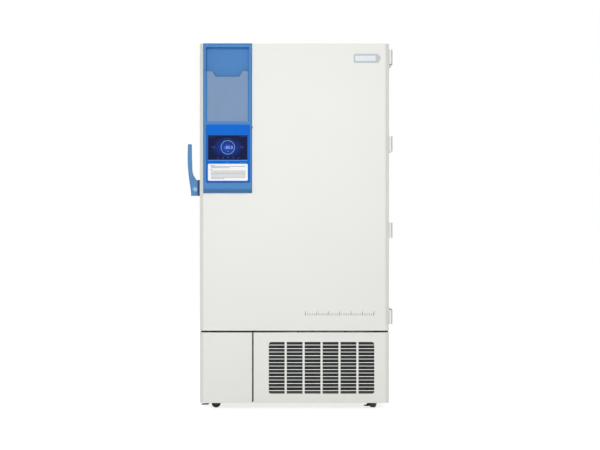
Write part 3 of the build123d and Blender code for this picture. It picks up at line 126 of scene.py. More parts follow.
def noise_of_size(tree, size_mm, detail=2.0, stretch=(1, 1, 1), rough=0.5):
    """The socket of noise whose features measure about size_mm."""
    mapping = add_node(tree, "ShaderNodeMapping", {"Scale": stretch, "Vector": object_place(tree)})
    inputs = {
        "Scale": 1 / (size_mm * MM),
        "Detail": detail,
        "Roughness": rough,
        "Vector": mapping.outputs["Vector"],
    }
    return add_node(tree, "ShaderNodeTexNoise", inputs).outputs["Fac"]


def cells_of_size(tree, size_mm, output, **settings):
    """One output socket of a cell pattern whose cells measure about size_mm."""
    inputs = {"Scale": 1 / (size_mm * MM), "Vector": object_place(tree)}
    return add_node(tree, "ShaderNodeTexVoronoi", inputs, **settings).outputs[output]


def mixed(tree, factor, low, high):
    """The socket of a colour that runs from one shade to another by a factor socket."""
    inputs = {0: factor, 6: linear(low), 7: linear(high)}
    return add_node(tree, "ShaderNodeMix", inputs, data_type="RGBA").outputs[2]


def tint_by(tree, shader, factor, low, high):
    """Colour the shader from one shade to another by a factor socket."""
    tree.links.new(mixed(tree, factor, low, high), shader.inputs["Base Color"])


def roughen_by(tree, shader, factor, low, high):
    """Vary the shader's roughness between two values by a factor socket."""
    inputs = {"To Min": low, "To Max": high, "Value": factor}
    spread = add_node(tree, "ShaderNodeMapRange", inputs)
    tree.links.new(spread.outputs["Result"], shader.inputs["Roughness"])


def bump_by(tree, shader, height, depth_mm, strength):
    """Raise the surface by a height socket, up to a real depth."""
    inputs = {"Strength": strength, "Distance": depth_mm * MM, "Height": height}
    bump = add_node(tree, "ShaderNodeBump", inputs)
    tree.links.new(bump.outputs["Normal"], shader.inputs["Normal"])


def patchy(name, size_mm, detail, shades, rough, stretch=(1, 1, 1), **shader_inputs):
    """A material whose shade and roughness follow one noise, each from low to high."""
    material, tree, shader = new_material(name, **shader_inputs)
    patch = noise_of_size(tree, size_mm, detail, stretch)
    tint_by(tree, shader, patch, *shades)
    roughen_by(tree, shader, patch, *rough)
    return material


def powder_coat(name, colour):
    # Polyester powder coat on sheet steel: an even satin colour with a faint orange peel,
    # drawn at 4 mm so that it shows, and a slow drift of shade over the wide panels.
    material, tree, shader = new_material(name, IOR=1.5)
    drift = noise_of_size(tree, 500, detail=1)
    tint_by(tree, shader, drift, linear(colour, 0.97), linear(colour))
    peel = noise_of_size(tree, 4)
    roughen_by(tree, shader, peel, 0.36, 0.46)
    bump_by(tree, shader, peel, 0.06, 0.35)
    return material


def moulded_abs(name, colour, roughness):
    # Injection moulded ABS with a fine spark-eroded grain that breaks up the highlight.
    material, tree, shader = new_material(name, IOR=1.54, Specular_IOR_Level=0.15)
    drift = noise_of_size(tree, 180)
    tint_by(tree, shader, drift, linear(colour, 0.95), linear(colour, 1.05))
    grain = noise_of_size(tree, 1.6, detail=3)
    roughen_by(tree, shader, grain, roughness - 0.06, roughness + 0.08)
    bump_by(tree, shader, grain, 0.05, 0.3)
    return material


def printed_overlay(name, colour):
    # Polycarbonate overlay printed from behind: a deep colour, with painted shade towards
    # its foot and painted light towards its top, under a matt face that lets little of
    # the room shine back.
    material, tree, shader = new_material(name, IOR=1.58, Specular_IOR_Level=0.03)
    low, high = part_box("display_bezel")
    place = add_node(tree, "ShaderNodeSeparateXYZ", {"Vector": object_place(tree)})
    inputs = {"From Min": low[2], "From Max": high[2], "Value": place.outputs["Z"]}
    painted_light_climb = add_node(tree, "ShaderNodeMapRange", inputs)
    tint_by(tree, shader, painted_light_climb.outputs["Result"], linear(colour, 0.92), linear(colour, 1.05))
    roughen_by(tree, shader, noise_of_size(tree, 25), 0.34, 0.42)
    return material


def frosted_acrylic(name, colour):
    # Acid-etched acrylic sheet: milky and see-through only for what touches it, with the
    # etch as a fine cloudy grain.
    material, tree, shader = new_material(
        name, IOR=1.49, Transmission_Weight=0.2, Roughness=0.6, Specular_IOR_Level=0.3
    )
    cloud = noise_of_size(tree, 60, detail=4)
    tint_by(tree, shader, cloud, linear(colour, 0.94), linear(colour, 1.06))
    bump_by(tree, shader, noise_of_size(tree, 1.2, detail=3), 0.05, 0.4)
    return material


def lit_screen(name, centre, reach, stops):
    # Backlit display behind coated glass that hardly mirrors: a navy field with a misty
    # blue glow round its middle.
    material, tree, shader = new_material(
        name,
        Base_Color=linear("#02030A"),
        IOR=1.52,
        Roughness=0.2,
        Specular_IOR_Level=0.015,
        Emission_Strength=1,
    )
    flatten = (1 / reach[0], 0, 1 / reach[1])
    place = object_place(tree)
    for operation, term in (("SUBTRACT", centre), ("MULTIPLY", flatten)):
        node = add_node(tree, "ShaderNodeVectorMath", {0: place, 1: term}, operation=operation)
        place = node.outputs["Vector"]
    length = add_node(tree, "ShaderNodeVectorMath", {0: place}, operation="LENGTH")
    mist = noise_of_size(tree, 22, detail=3)
    blur = maths(tree, "MULTIPLY_ADD", mist, 0.28, length.outputs["Value"])
    glow = add_node(tree, "ShaderNodeValToRGB", {"Fac": blur})
    ramp = glow.color_ramp
    ramp.elements.new(0.5)
    for stop, (position, colour) in zip(ramp.elements, stops):
        stop.position = position
        stop.color = linear(colour)
    tree.links.new(glow.outputs["Color"], shader.inputs["Emission Color"])
    return material


def screen_mark(name, low, high):
    # Lit marks of the display: light ink that glows, a little uneven like backlit pixels.
    material, tree, shader = new_material(
        name,
        Base_Color=linear("#05070D"),
        Roughness=0.3,
        Specular_IOR_Level=0.05,
        Emission_Strength=0.9,
    )
    flicker = noise_of_size(tree, 3, detail=1)
    tree.links.new(mixed(tree, flicker, low, high), shader.inputs["Emission Color"])
    return material


def coated_label(name):
    # Laminated paper label: bright white, faintly fibrous under a satin film.
    shades = ("#F2F3F4", "#FBFCFC")
    return patchy(name, 1.5, 4, shades, (0.4, 0.52), stretch=(1, 1, 2.5), IOR=1.46)


def coated_panel(name, *shades):
    # Etched or dyed aluminium under clear lacquer: one soft even colour that barely
    # mirrors, so that it stands out from the enamel round it by shade alone.
    return patchy(name, 12, 3, shades, (0.34, 0.46), Metallic=0.08, Specular_IOR_Level=0.2)


def printing_ink(name, *shades):
    # Screen-printed ink: flat, slightly patchy and duller than what it is printed on. The
    # same flat colour also makes the bezel's strips of painted shade and painted highlight.
    return patchy(name, 2, 3, shades, (0.5, 0.65), IOR=1.5, Specular_IOR_Level=0.1)


def brushed_metal(name, low, high, stretch):
    # Sheet metal brushed one way: long fine scratches that draw the highlight out.
    material, tree, shader = new_material(name, Metallic=1.0)
    lines = noise_of_size(tree, 0.9, detail=4, stretch=stretch, rough=0.7)
    tint_by(tree, shader, lines, low, high)
    roughen_by(tree, shader, lines, 0.22, 0.42)
    bump_by(tree, shader, lines, 0.02, 0.4)
    return material


def zinc_plate(name, low, high):
    # Passivated zinc on pressed steel: a dull silver with soft crystalline patches.
    material, tree, shader = new_material(name, Metallic=1.0)
    tint_by(tree, shader, cells_of_size(tree, 9, "Color"), low, high)
    roughen_by(tree, shader, noise_of_size(tree, 5, detail=4), 0.32, 0.5)
    return material


def polished_steel(name):
    # Nickel-plated steel of the hinge pins and the latch: bright, with faint handling haze.
    return patchy(name, 7, 4, ("#C2C5C8", "#D9DBDD"), (0.16, 0.3), Metallic=1.0)


def drawn_copper(name):
    # Soft-drawn copper tube: warm metal with darker oxide clouds along it.
    return patchy(name, 30, 5, ("#7E4A31", "#C98A66"), (0.28, 0.48), Metallic=1.0)


def black_enamel(name):
    # Stoved black enamel on a pressed steel shell: deep gloss with a light dust.
    return patchy(name, 14, 5, ("#0E0F10", "#232527"), (0.24, 0.44), IOR=1.5)


def moulded_rubber(name, low, high):
    # Moulded elastomer: matt, with a dusty bloom and a fine pebble grain.
    material, tree, shader = new_material(name, IOR=1.52)
    bloom = noise_of_size(tree, 16, detail=4)
    tint_by(tree, shader, bloom, low, high)
    roughen_by(tree, shader, bloom, 0.62, 0.8)
    bump_by(tree, shader, noise_of_size(tree, 1.2), 0.08, 0.4)
    return material


def rigid_foam(name):
    # Cut polyurethane foam: cream, matt and pitted with small cells.
    material, tree, shader = new_material(name, IOR=1.4, Roughness=0.9)
    cells = cells_of_size(tree, 3, "Distance")
    tint_by(tree, shader, cells, "#C9B27A", "#E6D6A4")
    bump_by(tree, shader, cells, 0.4, 0.5)
    return material


def filter_fleece(name):
    # Reticulated black filter foam: an open web that swallows light.
    material, tree, shader = new_material(name, IOR=1.3, Roughness=0.95, Specular_IOR_Level=0.05)
    web = cells_of_size(tree, 2.5, "Distance", feature="DISTANCE_TO_EDGE")
    tint_by(tree, shader, web, "#0B0B0C", "#010101")
    bump_by(tree, shader, web, 0.6, 0.6)
    return material


def circuit_board(name):
    # Solder-masked laminate: glossy green with copper tracks showing as paler lines.
    material, tree, shader = new_material(name, IOR=1.55, Roughness=0.3)
    inputs = {
        "Scale": 1 / (9 * MM),
        "Mortar Size": 0.06,
        "Color1": linear("#0C4A2B"),
        "Color2": linear("#0F5A34"),
        "Mortar": linear("#3E8A55"),
        "Vector": object_place(tree),
    }
    tracks = add_node(tree, "ShaderNodeTexBrick", inputs)
    tree.links.new(tracks.outputs["Color"], shader.inputs["Base Color"])
    return material


def seen_directly(tree):
    """A factor that is 1 for what the camera sees, straight or through gloss and glass."""
    path = add_node(tree, "ShaderNodeLightPath").outputs
    gloss = maths(tree, "MAXIMUM", path["Is Camera Ray"], path["Is Glossy Ray"])
    return maths(tree, "MAXIMUM", gloss, path["Is Transmission Ray"])


def studio_floor(name, lift):
    # Matt white studio paint: it takes the soft shadow and is lifted to white for the eye.
    material, tree, shader = new_material(name, Roughness=0.85, Specular_IOR_Level=0.1)
    tint_by(tree, shader, noise_of_size(tree, 300, detail=3), "#E2E2E2", "#E8E8E8")
    seen = maths(tree, "MULTIPLY", seen_directly(tree), lift)
    glow = add_node(tree, "ShaderNodeEmission", {"Color": (1, 1, 1, 1), "Strength": seen})
    inputs = {0: shader.outputs["BSDF"], 1: glow.outputs["Emission"]}
    both = add_node(tree, "ShaderNodeAddShader", inputs)
    tree.links.new(both.outputs["Shader"], tree.nodes["Material Output"].inputs["Surface"])
    return material


def studio_world(name, level):
    """White for what is seen directly, and a plain dimmer white as the soft light."""
    world = bpy.data.worlds.new(name)
    world.use_nodes = True
    tree = world.node_tree
    inputs = {"To Min": level, "To Max": 1.0, "Value": seen_directly(tree)}
    dim = add_node(tree, "ShaderNodeMapRange", inputs)
    sky = tree.nodes["Background"]
    sky.inputs["Color"].default_value = (1, 1, 1, 1)
    tree.links.new(dim.outputs["Result"], sky.inputs["Strength"])
    return world


FINISHES = {}


def finish(name):
    """One of the finishes that the first operator mixed."""
    if name not in FINISHES:
        raise KeyError(f"the finish {name} has not been mixed yet")
    return FINISHES[name]


def coat(node, name):
    """Give a CAD node, whose shape stays, one of the finishes."""
    mesh = frame["nodes"][node].data
    mesh.materials.clear()
    mesh.materials.append(finish(name))


def new_piece(name, mesh, material, body, slot=None, replaces=()):
    """Link a finished mesh as a piece that rides on a body and may stand for CAD nodes."""
    piece = bpy.data.objects.new(name, mesh)
    bpy.context.scene.collection.objects.link(piece)
    if material:
        mesh.materials.append(finish(material))
    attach(piece, body)
    if replaces:
        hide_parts(*replaces)
        slot = slot or SLOT_OF[replaces[0]]
    return piece


def merged_copy(node):
    """A CAD node's mesh as a new one, with its triangles joined into clean faces."""
    mesh = frame["nodes"][node].data.copy()
    mesh.materials.clear()
    bm = bmesh.new()
    bm.from_mesh(mesh)
    bmesh.ops.remove_doubles(bm, verts=bm.verts, dist=0.02 * MM)
    bmesh.ops.dissolve_limit(
        bm,
        angle_limit=math.radians(0.6),
        verts=bm.verts,
        edges=bm.edges,
        delimit={"NORMAL"},
    )
    bm.to_mesh(mesh)
    bm.free()
    return mesh


def soften(node, material, width, segments=3):
    """Stand a copy of a CAD node in for it, with its sharp edges rounded to catch light."""
    mesh = merged_copy(node)
    mesh.shade_smooth()
    mesh.set_sharp_from_angle(angle=SHARP)
    piece = new_piece(f"{node}_dressed", mesh, material, BODY_OF[node], replaces=(node,))
    bevel = piece.modifiers.new("Rounded edges", "BEVEL")
    bevel.width = width
    bevel.segments = segments
    bevel.limit_method = "ANGLE"
    bevel.angle_limit = SHARP
    bevel.use_clamp_overlap = True
    bevel.harden_normals = True


def mesh_of(bm, smooth_below=0):
    """A mesh from a bmesh, with faces outwards, smooth where edges turn by less than that."""
    bmesh.ops.recalc_face_normals(bm, faces=bm.faces)
    mesh = bpy.data.meshes.new("Shape")
    bm.to_mesh(mesh)
    bm.free()
    if smooth_below:
        mesh.shade_smooth()
        mesh.set_sharp_from_angle(angle=math.radians(smooth_below))
    return mesh


def cushion_block(low, high, round_off, segments=1):
    """A block between two corners whose edges are all rounded."""
    bm = bmesh.new()
    bmesh.ops.create_cube(bm, size=1)
    size, centre = high - low, (high + low) / 2
    bmesh.ops.scale(bm, vec=size, verts=bm.verts)
    bmesh.ops.translate(bm, vec=centre, verts=bm.verts)
    bmesh.ops.bevel(
        bm,
        geom=bm.edges,
        offset=min(round_off, 0.49 * min(size)),
        segments=segments,
        profile=0.5,
        affect="EDGES",
    )
    return mesh_of(bm, 40)


def lathed(profile, centre, axis, steps, base=0.0, unit=MM):
    """A turned shape: (distance beyond the base radius, distance along the axis) points in a
    unit, turned about the axis. A profile that ends where it starts makes a ring."""
    bm = bmesh.new()
    rings = []
    is_ring = profile[0] == profile[-1]
    for beyond, along in profile[: -1 if is_ring else None]:
        radius, rise = base + beyond * unit, along * unit
        if radius < ON_AXIS:
            rings.append([bm.verts.new((0, 0, rise))])
            continue
        turns = [2 * math.pi * i / steps for i in range(steps)]
        places = [(radius * math.cos(turn), radius * math.sin(turn), rise) for turn in turns]
        rings.append([bm.verts.new(place) for place in places])
    if is_ring:
        rings.append(rings[0])
    for low, high in zip(rings, rings[1:]):
        for i in range(steps):
            places = ((low, i), (low, i + 1), (high, i + 1), (high, i))
            corners = [ring[k % steps % len(ring)] for ring, k in places]
            corners = list(dict.fromkeys(corners))
            if len(corners) > 2:
                bm.faces.new(corners)
    for ring in () if is_ring else (rings[0], rings[-1]):
        if len(ring) > 1:
            bm.faces.new(ring)
    place = UP.rotation_difference(axis).to_matrix().to_4x4()
    bmesh.ops.transform(bm, matrix=Matrix.Translation(centre) @ place, verts=bm.verts)
    return mesh_of(bm, 35)


def linked(mesh_or_curve):
    """A passing object that carries a mesh or a curve into the scene."""
    carrier = bpy.data.objects.new("carrier", mesh_or_curve)
    bpy.context.scene.collection.objects.link(carrier)
    return carrier


def evaluated_mesh(carrier):
    """The mesh that an object shows, as a plain mesh; the object goes."""
    bpy.context.view_layer.update()
    graph = bpy.context.evaluated_depsgraph_get()
    mesh = bpy.data.meshes.new_from_object(carrier.evaluated_get(graph), depsgraph=graph)
    bpy.data.objects.remove(carrier)
    return mesh


def node_group(name, sizes):
    """An empty Geometry Nodes tree with named inputs, as (tree, given sockets, output node)."""
    tree = bpy.data.node_groups.new(name, "GeometryNodeTree")
    kinds = {float: "NodeSocketFloat", int: "NodeSocketInt", tuple: "NodeSocketVector"}
    tree.interface.new_socket("Geometry", in_out="OUTPUT", socket_type="NodeSocketGeometry")
    for key, value in sizes.items():
        kind = kinds.get(type(value))
        if isinstance(value, bpy.types.Object):
            kind = "NodeSocketObject"
        if isinstance(value, bpy.types.Material):
            kind = "NodeSocketMaterial"
        tree.interface.new_socket(key, in_out="INPUT", socket_type=kind)
    given = tree.nodes.new("NodeGroupInput").outputs
    return tree, given, tree.nodes.new("NodeGroupOutput")


def realized(tree, geometry):
    """The socket of a geometry's instances made real."""
    node = add_node(tree, "GeometryNodeRealizeInstances", {"Geometry": geometry})
    return node.outputs["Geometry"]


def on_points(tree, points, instance, **inputs):
    """The socket of one instance on every point."""
    inputs = {"Points": points, "Instance": instance, **inputs}
    return add_node(tree, "GeometryNodeInstanceOnPoints", inputs).outputs["Instances"]


def item_of(tree, given):
    """The socket of the shape that a tree copies."""
    node = add_node(tree, "GeometryNodeObjectInfo", {"Object": given["Item"]})
    return node.outputs["Geometry"]


def mesh_line(tree, count, offset, start=(0, 0, 0)):
    """The socket of a row of points."""
    inputs = {"Count": count, "Offset": offset, "Start Location": start}
    return add_node(tree, "GeometryNodeMeshLine", inputs).outputs["Mesh"]


def finish_tree(tree, given, out, geometry):
    """End a tree in realised instances that carry the finish."""
    inputs = {"Geometry": realized(tree, geometry), "Material": given["Finish"]}
    painted = add_node(tree, "GeometryNodeSetMaterial", inputs)
    tree.links.new(painted.outputs["Geometry"], out.inputs["Geometry"])
    return tree


def grown(name, tree, sizes, body, slot, replaces=()):
    """Run a tree once with its sizes and keep what it grows as a plain piece."""
    carrier = linked(bpy.data.meshes.new("carrier"))
    modifier = carrier.modifiers.new("Growth", "NODES")
    modifier.node_group = tree
    for item in tree.interface.items_tree:
        if item.item_type == "SOCKET" and item.in_out == "INPUT":
            modifier[item.identifier] = sizes[item.name]
    carrier.update_tag()
    mesh = evaluated_mesh(carrier)
    if not mesh.polygons:
        raise RuntimeError(f"the tree of {name} grew nothing")
    new_piece(name, mesh, None, body, slot, replaces)


def grid_tree(name, sizes):
    """Copies of one item on a grid: across, then up, from a start point."""
    tree, given, out = node_group(name, sizes)
    row = mesh_line(tree, given["Columns"], given["Across"])
    column = mesh_line(tree, given["Rows"], given["Up"], given["Start"])
    points = realized(tree, on_points(tree, column, row))
    inputs = {"Min": given["Least turn"], "Max": given["Most turn"], "Seed": given["Seed"]}
    turn = add_node(tree, "FunctionNodeRandomValue", inputs, data_type="FLOAT_VECTOR")
    inputs = {2: given["Least length"], 3: given["Most length"], "Seed": given["Seed"]}
    length = add_node(tree, "FunctionNodeRandomValue", inputs, data_type="FLOAT")
    scale = add_node(tree, "ShaderNodeCombineXYZ", {"X": length.outputs[1], "Y": 1, "Z": 1})
    copies = on_points(
        tree,
        points,
        item_of(tree, given),
        Rotation=turn.outputs["Value"],
        Scale=scale.outputs["Vector"],
    )
    return finish_tree(tree, given, out, copies)


def ring_tree(name, sizes):
    """Copies of one item on a ring about the Y axis, each turned to face outwards."""
    tree, given, out = node_group(name, sizes)
    points = mesh_line(tree, given["Count"], (0, 0, 0))
    index = add_node(tree, "GeometryNodeInputIndex").outputs["Index"]
    turn = maths(tree, "MULTIPLY", index, maths(tree, "DIVIDE", 2 * math.pi, given["Count"]))
    spin = add_node(tree, "ShaderNodeCombineXYZ", {"Y": turn}).outputs["Vector"]
    copies = realized(tree, on_points(tree, points, item_of(tree, given), Rotation=spin))
    inputs = {"Geometry": copies, "Translation": given["Centre"]}
    placed = add_node(tree, "GeometryNodeTransform", inputs)
    return finish_tree(tree, given, out, placed.outputs["Geometry"])


def upright_sweep(tree, given, curve, profile):
    """A profile swept along a flat curve, stood upright and moved to the tree's centre."""
    inputs = {"Curve": curve, "Profile Curve": profile}
    swept = add_node(tree, "GeometryNodeCurveToMesh", inputs)
    inputs = {
        "Geometry": swept.outputs["Mesh"],
        "Rotation": (math.radians(90), 0, 0),
        "Translation": given["Centre"],
    }
    return add_node(tree, "GeometryNodeTransform", inputs).outputs["Geometry"]


def curve_circle(tree, resolution, radius):
    """The socket of a circle."""
    inputs = {"Resolution": resolution, "Radius": radius}
    return add_node(tree, "GeometryNodeCurvePrimitiveCircle", inputs).outputs["Curve"]


def hoop_tree(name, sizes):
    """Rings of round wire about the Y axis, evenly spread between two radii."""
    tree, given, out = node_group(name, sizes)
    span = maths(tree, "SUBTRACT", given["Outer radius"], given["Inner radius"])
    pitch = maths(tree, "DIVIDE", span, maths(tree, "SUBTRACT", given["Hoops"], 1))
    index = add_node(tree, "GeometryNodeInputIndex").outputs["Index"]
    radius = maths(tree, "MULTIPLY_ADD", index, pitch, given["Inner radius"])
    size = add_node(tree, "ShaderNodeCombineXYZ", {"X": radius, "Y": radius, "Z": 1})
    points = mesh_line(tree, given["Hoops"], (0, 0, 0))
    hoops = on_points(tree, points, curve_circle(tree, 64, 1), Scale=size.outputs["Vector"])
    wire = curve_circle(tree, 8, given["Wire radius"])
    placed = upright_sweep(tree, given, realized(tree, hoops), wire)
    return finish_tree(tree, given, out, placed)


def seal_tree(name, sizes):
    """A round-cornered frame swept by one lobe, which is squeezed into an oval."""
    tree, given, out = node_group(name, sizes)
    inputs = {"Width": given["Width"], "Height": given["Height"]}
    outline = add_node(tree, "GeometryNodeCurvePrimitiveQuadrilateral", inputs)
    inputs = {"Count": 6, "Curve": outline.outputs["Curve"], "Radius": given["Corner"]}
    rounded = add_node(tree, "GeometryNodeFilletCurve", inputs, mode="POLY")
    inputs = {"Geometry": curve_circle(tree, 12, given["Lobe"]), "Scale": given["Squeeze"]}
    lobe = add_node(tree, "GeometryNodeTransform", inputs).outputs["Geometry"]
    placed = upright_sweep(tree, given, rounded.outputs["Curve"], lobe)
    return finish_tree(tree, given, out, placed)


def copied(name, item_mesh, tree_maker, sizes, material, body, slot):
    """Grow a piece out of copies of one small mesh, laid out by a grid or a ring tree."""
    item = linked(item_mesh)
    sizes = {"Item": item, **sizes, "Finish": finish(material)}
    grown(name, tree_maker(f"Copies of {name}", sizes), sizes, body, slot)
    bpy.data.objects.remove(item)


def on_grid(
    name, item_mesh, start, steps, counts, material, body, slot, spin=0.0, lengths=(1.0, 1.0)
):
    """Grow a grid of one small mesh, with steps and counts across and up. Each copy is turned
    about the Y axis by up to the spin, and made as long as lengths allow."""
    sizes = {
        "Columns": counts[0],
        "Rows": counts[1],
        "Across": (steps[0], 0.0, 0.0),
        "Up": (0.0, 0.0, steps[1]),
        "Start": tuple(start),
        "Least turn": (0.0, -spin, 0.0),
        "Most turn": (0.0, spin, 0.0),
        "Least length": lengths[0],
        "Most length": lengths[1],
        "Seed": GRID_SEED,
    }
    copied(name, item_mesh, grid_tree, sizes, material, body, slot)


def seal_piece(name, size, corner, lobe, flatness, centre, body, replaces=()):
    """Grow one lobe of a grey seal, round a frame of a width and a height."""
    sizes = {
        "Width": size[0],
        "Height": size[1],
        "Corner": corner,
        "Lobe": lobe,
        "Squeeze": (1.0, flatness, 1.0),
        "Centre": tuple(centre),
        "Finish": finish("rubber_grey"),
    }
    grown(name, seal_tree(f"Seal {name}", sizes), sizes, body, "grey_rubber", replaces)


def pan_screw(diameter):
    """A cross-recessed pan head that faces the rear, its seat at the origin."""
    profile = ((0.5, 0), (0.5, 0.12), (0.43, 0.26), (0.25, 0.34), (0, 0.36))
    bm = bmesh.new()
    head = lathed(profile, Vector((0, 0, 0)), UP, 14, unit=diameter)
    bm.from_mesh(head)
    bpy.data.meshes.remove(head)
    for turn in (0, 90):
        bar = bmesh.ops.create_cube(bm, size=1)["verts"]
        bmesh.ops.scale(bm, vec=(0.16 * diameter, 0.62 * diameter, 0.05 * diameter), verts=bar)
        bmesh.ops.translate(bm, vec=(0, 0, 0.345 * diameter), verts=bar)
        bmesh.ops.rotate(bm, matrix=Matrix.Rotation(math.radians(turn), 3, "Z"), verts=bar)
    place = UP.rotation_difference(BACK).to_matrix()
    bmesh.ops.rotate(bm, matrix=place, verts=bm.verts)
    return mesh_of(bm, 40)


def flat_bar(width, height, depth=0.2 * MM):
    """A thin bar whose left end is at the origin, for printed and lit marks."""
    low, high = Vector((0, -depth / 2, -height / 2)), Vector((width, depth / 2, height / 2))
    return cushion_block(low, high, 0.2 * depth)


def leaning(mesh, lean):
    """Lean a mark to the right, in the way italic marks lean."""
    for vertex in mesh.vertices:
        vertex.co.x += lean * vertex.co.z
    return mesh


def flat_panel(x_span, z_span, face, depth, corner):
    """A thin plate with rounded corners, whose front lies at a face, as a plain mesh."""
    bm = bmesh.new()
    bmesh.ops.create_cube(bm, size=1)
    width, height = x_span[1] - x_span[0], z_span[1] - z_span[0]
    bmesh.ops.scale(bm, vec=(width, depth, height), verts=bm.verts)
    place = Vector(((x_span[0] + x_span[1]) / 2, face + depth / 2, (z_span[0] + z_span[1]) / 2))
    bmesh.ops.translate(bm, vec=place, verts=bm.verts)
    upright = [e for e in bm.edges if abs(e.verts[0].co.y - e.verts[1].co.y) > depth / 2]
    bmesh.ops.bevel(bm, geom=upright, offset=corner, segments=5, profile=0.5, affect="EDGES")
    return mesh_of(bm, 30)


def digits(text, height, centre, depth):
    """Plain numerals as a thin raised mesh, standing in the XZ plane."""
    curve = bpy.data.curves.new("Numerals", "FONT")
    curve.body = text
    curve.size = height * TYPE_RATIO
    curve.extrude = depth / 2
    curve.align_x = "CENTER"
    curve.align_y = "CENTER"
    mesh = evaluated_mesh(linked(curve))
    mesh.transform(Matrix.Translation(centre) @ Matrix.Rotation(math.radians(90), 4, "X"))
    return mesh


def length_of(name, description, size_mm, least_mm):
    """A length that the panel shows, with its default and its least value."""
    return bpy.props.FloatProperty(
        name=name,
        description=description,
        default=size_mm * MM,
        min=least_mm * MM,
        unit="LENGTH",
    )


def colour_of(name, description, colour):
    """A colour that the panel shows, with its default as sRGB."""
    return bpy.props.FloatVectorProperty(
        name=name,
        description=description,
        default=linear(colour)[:3],
        subtype="COLOR",
        min=0,
        max=1,
    )


class FreezerSizes(bpy.types.PropertyGroup):
    edge_round: length_of("Edge rounding", "Radius on the edges of the moulded parts", 1.2, 0.1)
    sheet_round: length_of("Sheet rounding", "Radius on the coated sheet steel", 0.5, 0.1)
    screw: length_of("Screw head", "Diameter of the pan heads on the rear", 8, 3)
    fin_pitch: length_of("Fin pitch", "Distance between the condenser's fins", 4, 2)
    guard_wire: length_of("Guard wire", "Diameter of the fan guard's wire", 3, 1)
    dial_radius: length_of("Dial radius", "Radius of the lit ring on the display", 36.5, 10)
    setting: bpy.props.FloatProperty(
        name="Temperature",
        description="Number that the display shows",
        default=-80.0,
        min=-99,
        max=20,
        precision=1,
        subtype="TEMPERATURE",
    )


class FreezerColours(bpy.types.PropertyGroup):
    casing: colour_of("Casing", "Powder coat of the cabinet and the doors", "#EDEEE8")
    console: colour_of("Console", "Moulded plastic of the control console", "#4688C8")
    handle: colour_of("Handle", "Moulded plastic of the door handle", "#4C86BE")
    bezel: colour_of("Bezel", "Printed overlay round the display", "#036CDA")
    pocket: colour_of("Pocket", "Frosted sheet of the document pocket", "#8BA8CE")


class FREEZER_OT_finishes(bpy.types.Operator):
    """Mix every finish of the freezer"""

    bl_idname = "freezer.finishes"
    bl_label = "Mix Finishes"

    def execute(self, context):
        colours = context.scene.freezer_colours
        low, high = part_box("touch_screen")
        reach = (100 * MM, 66 * MM)
        stops = ((0.24, "#1254BA"), (0.56, "#0B3088"), (1.0, "#061240"))
        fins, brushing = (12, 12, 1), (1, 14, 14)
        FINISHES.update({
            "coat_white": powder_coat("Powder coated steel, white", colours.casing),
            "coat_grey": powder_coat("Powder coated steel, grey", linear("#8F9192")),
            # Black paint of the forks and pedals, and painted shade on the base frame.
            "black_coat_and_shade": powder_coat("Powder coated steel, black and painted shade", linear("#0C0D0E")),
            "abs_blue": moulded_abs("Moulded ABS, console blue", colours.console, 0.4),
            "abs_handle": moulded_abs("Moulded ABS, handle blue", colours.handle, 0.32),
            "abs_dark": moulded_abs("Moulded ABS, shadow blue", linear("#1B3F63"), 0.45),
            # Painted shade for the console's rounded edges and its sloped foot.
            "abs_edge_shade": moulded_abs("Moulded ABS, painted edge shade blue", linear("#3F6F9C"), 0.45),
            "abs_white": moulded_abs("Moulded ABS, white", linear("#F4F5F1"), 0.4),
            # Painted shade for the edges of the hinge covers.
            "abs_grey": moulded_abs("Moulded ABS, painted shade grey", linear("#7C7C7A"), 0.45),
            "abs_black": moulded_abs("Moulded ABS, black", linear("#17181A"), 0.45),
            "overlay": printed_overlay("Printed polycarbonate overlay", colours.bezel),
            "acrylic": frosted_acrylic("Frosted acrylic sheet", colours.pocket),
            "display": lit_screen("Backlit display glass", (low + high) / 2, reach, stops),
            "mark_pale": screen_mark("Lit pixels, pale", "#A99FEA", "#D2CAFA"),
            "mark_blue": screen_mark("Lit pixels, blue", "#74BCFA", "#B0E2FF"),
            "mark_dim": screen_mark("Lit pixels, dim", "#213878", "#2F4C8E"),
            "label": coated_label("Laminated label paper"),
            "ink_grey": printing_ink("Screen ink, grey", "#66666A", "#858387"),
            "ink_dark": printing_ink("Screen ink, slate", "#7F817F", "#9A9C98"),
            # Light blue: printed marks on the bezel, and the painted highlight under the window.
            "ink_and_highlight_blue": printing_ink("Screen ink and painted highlight, light blue", "#3F86DE", "#6BA4EA"),
            # Painted shade on the display's bezel.
            "painted_shade_navy": printing_ink("Painted shade, dull blue", "#1F60AE", "#2C6CB8"),
            "plate": coated_panel("Etched aluminium field", "#CDD6DD", "#DFE5EA"),
            "plate_rim": coated_panel("Lacquered aluminium rim", "#AEB3B6", "#BDC2C5"),
            "plate_blue": coated_panel("Anodised lock face", "#7FA9D2", "#9CC4EA"),
            "stainless": brushed_metal("Brushed stainless steel", "#A9ABAD", "#C9CACC", brushing),
            "aluminium": brushed_metal("Rolled aluminium fin stock", "#B9BCBF", "#D6D8DA", fins),
            "zinc": zinc_plate("Zinc plated steel", "#9DA1A4", "#C3C6C8"),
            "steel": polished_steel("Nickel plated steel"),
            "copper": drawn_copper("Soft drawn copper"),
            "enamel": black_enamel("Stoved black enamel"),
            # Black rubber of the wheels and bumpers, and painted shade in the strips behind the front's gaps.
            "black_rubber_and_shade": moulded_rubber("Moulded rubber, black and painted shade", "#131415", "#26282A"),
            "rubber_grey": moulded_rubber("Extruded seal, grey", "#8E9194", "#A9ACAE"),
            "foam": rigid_foam("Rigid polyurethane foam"),
            "fleece": filter_fleece("Reticulated filter foam"),
            "board": circuit_board("Solder masked laminate"),
        })
        return {"FINISHED"}


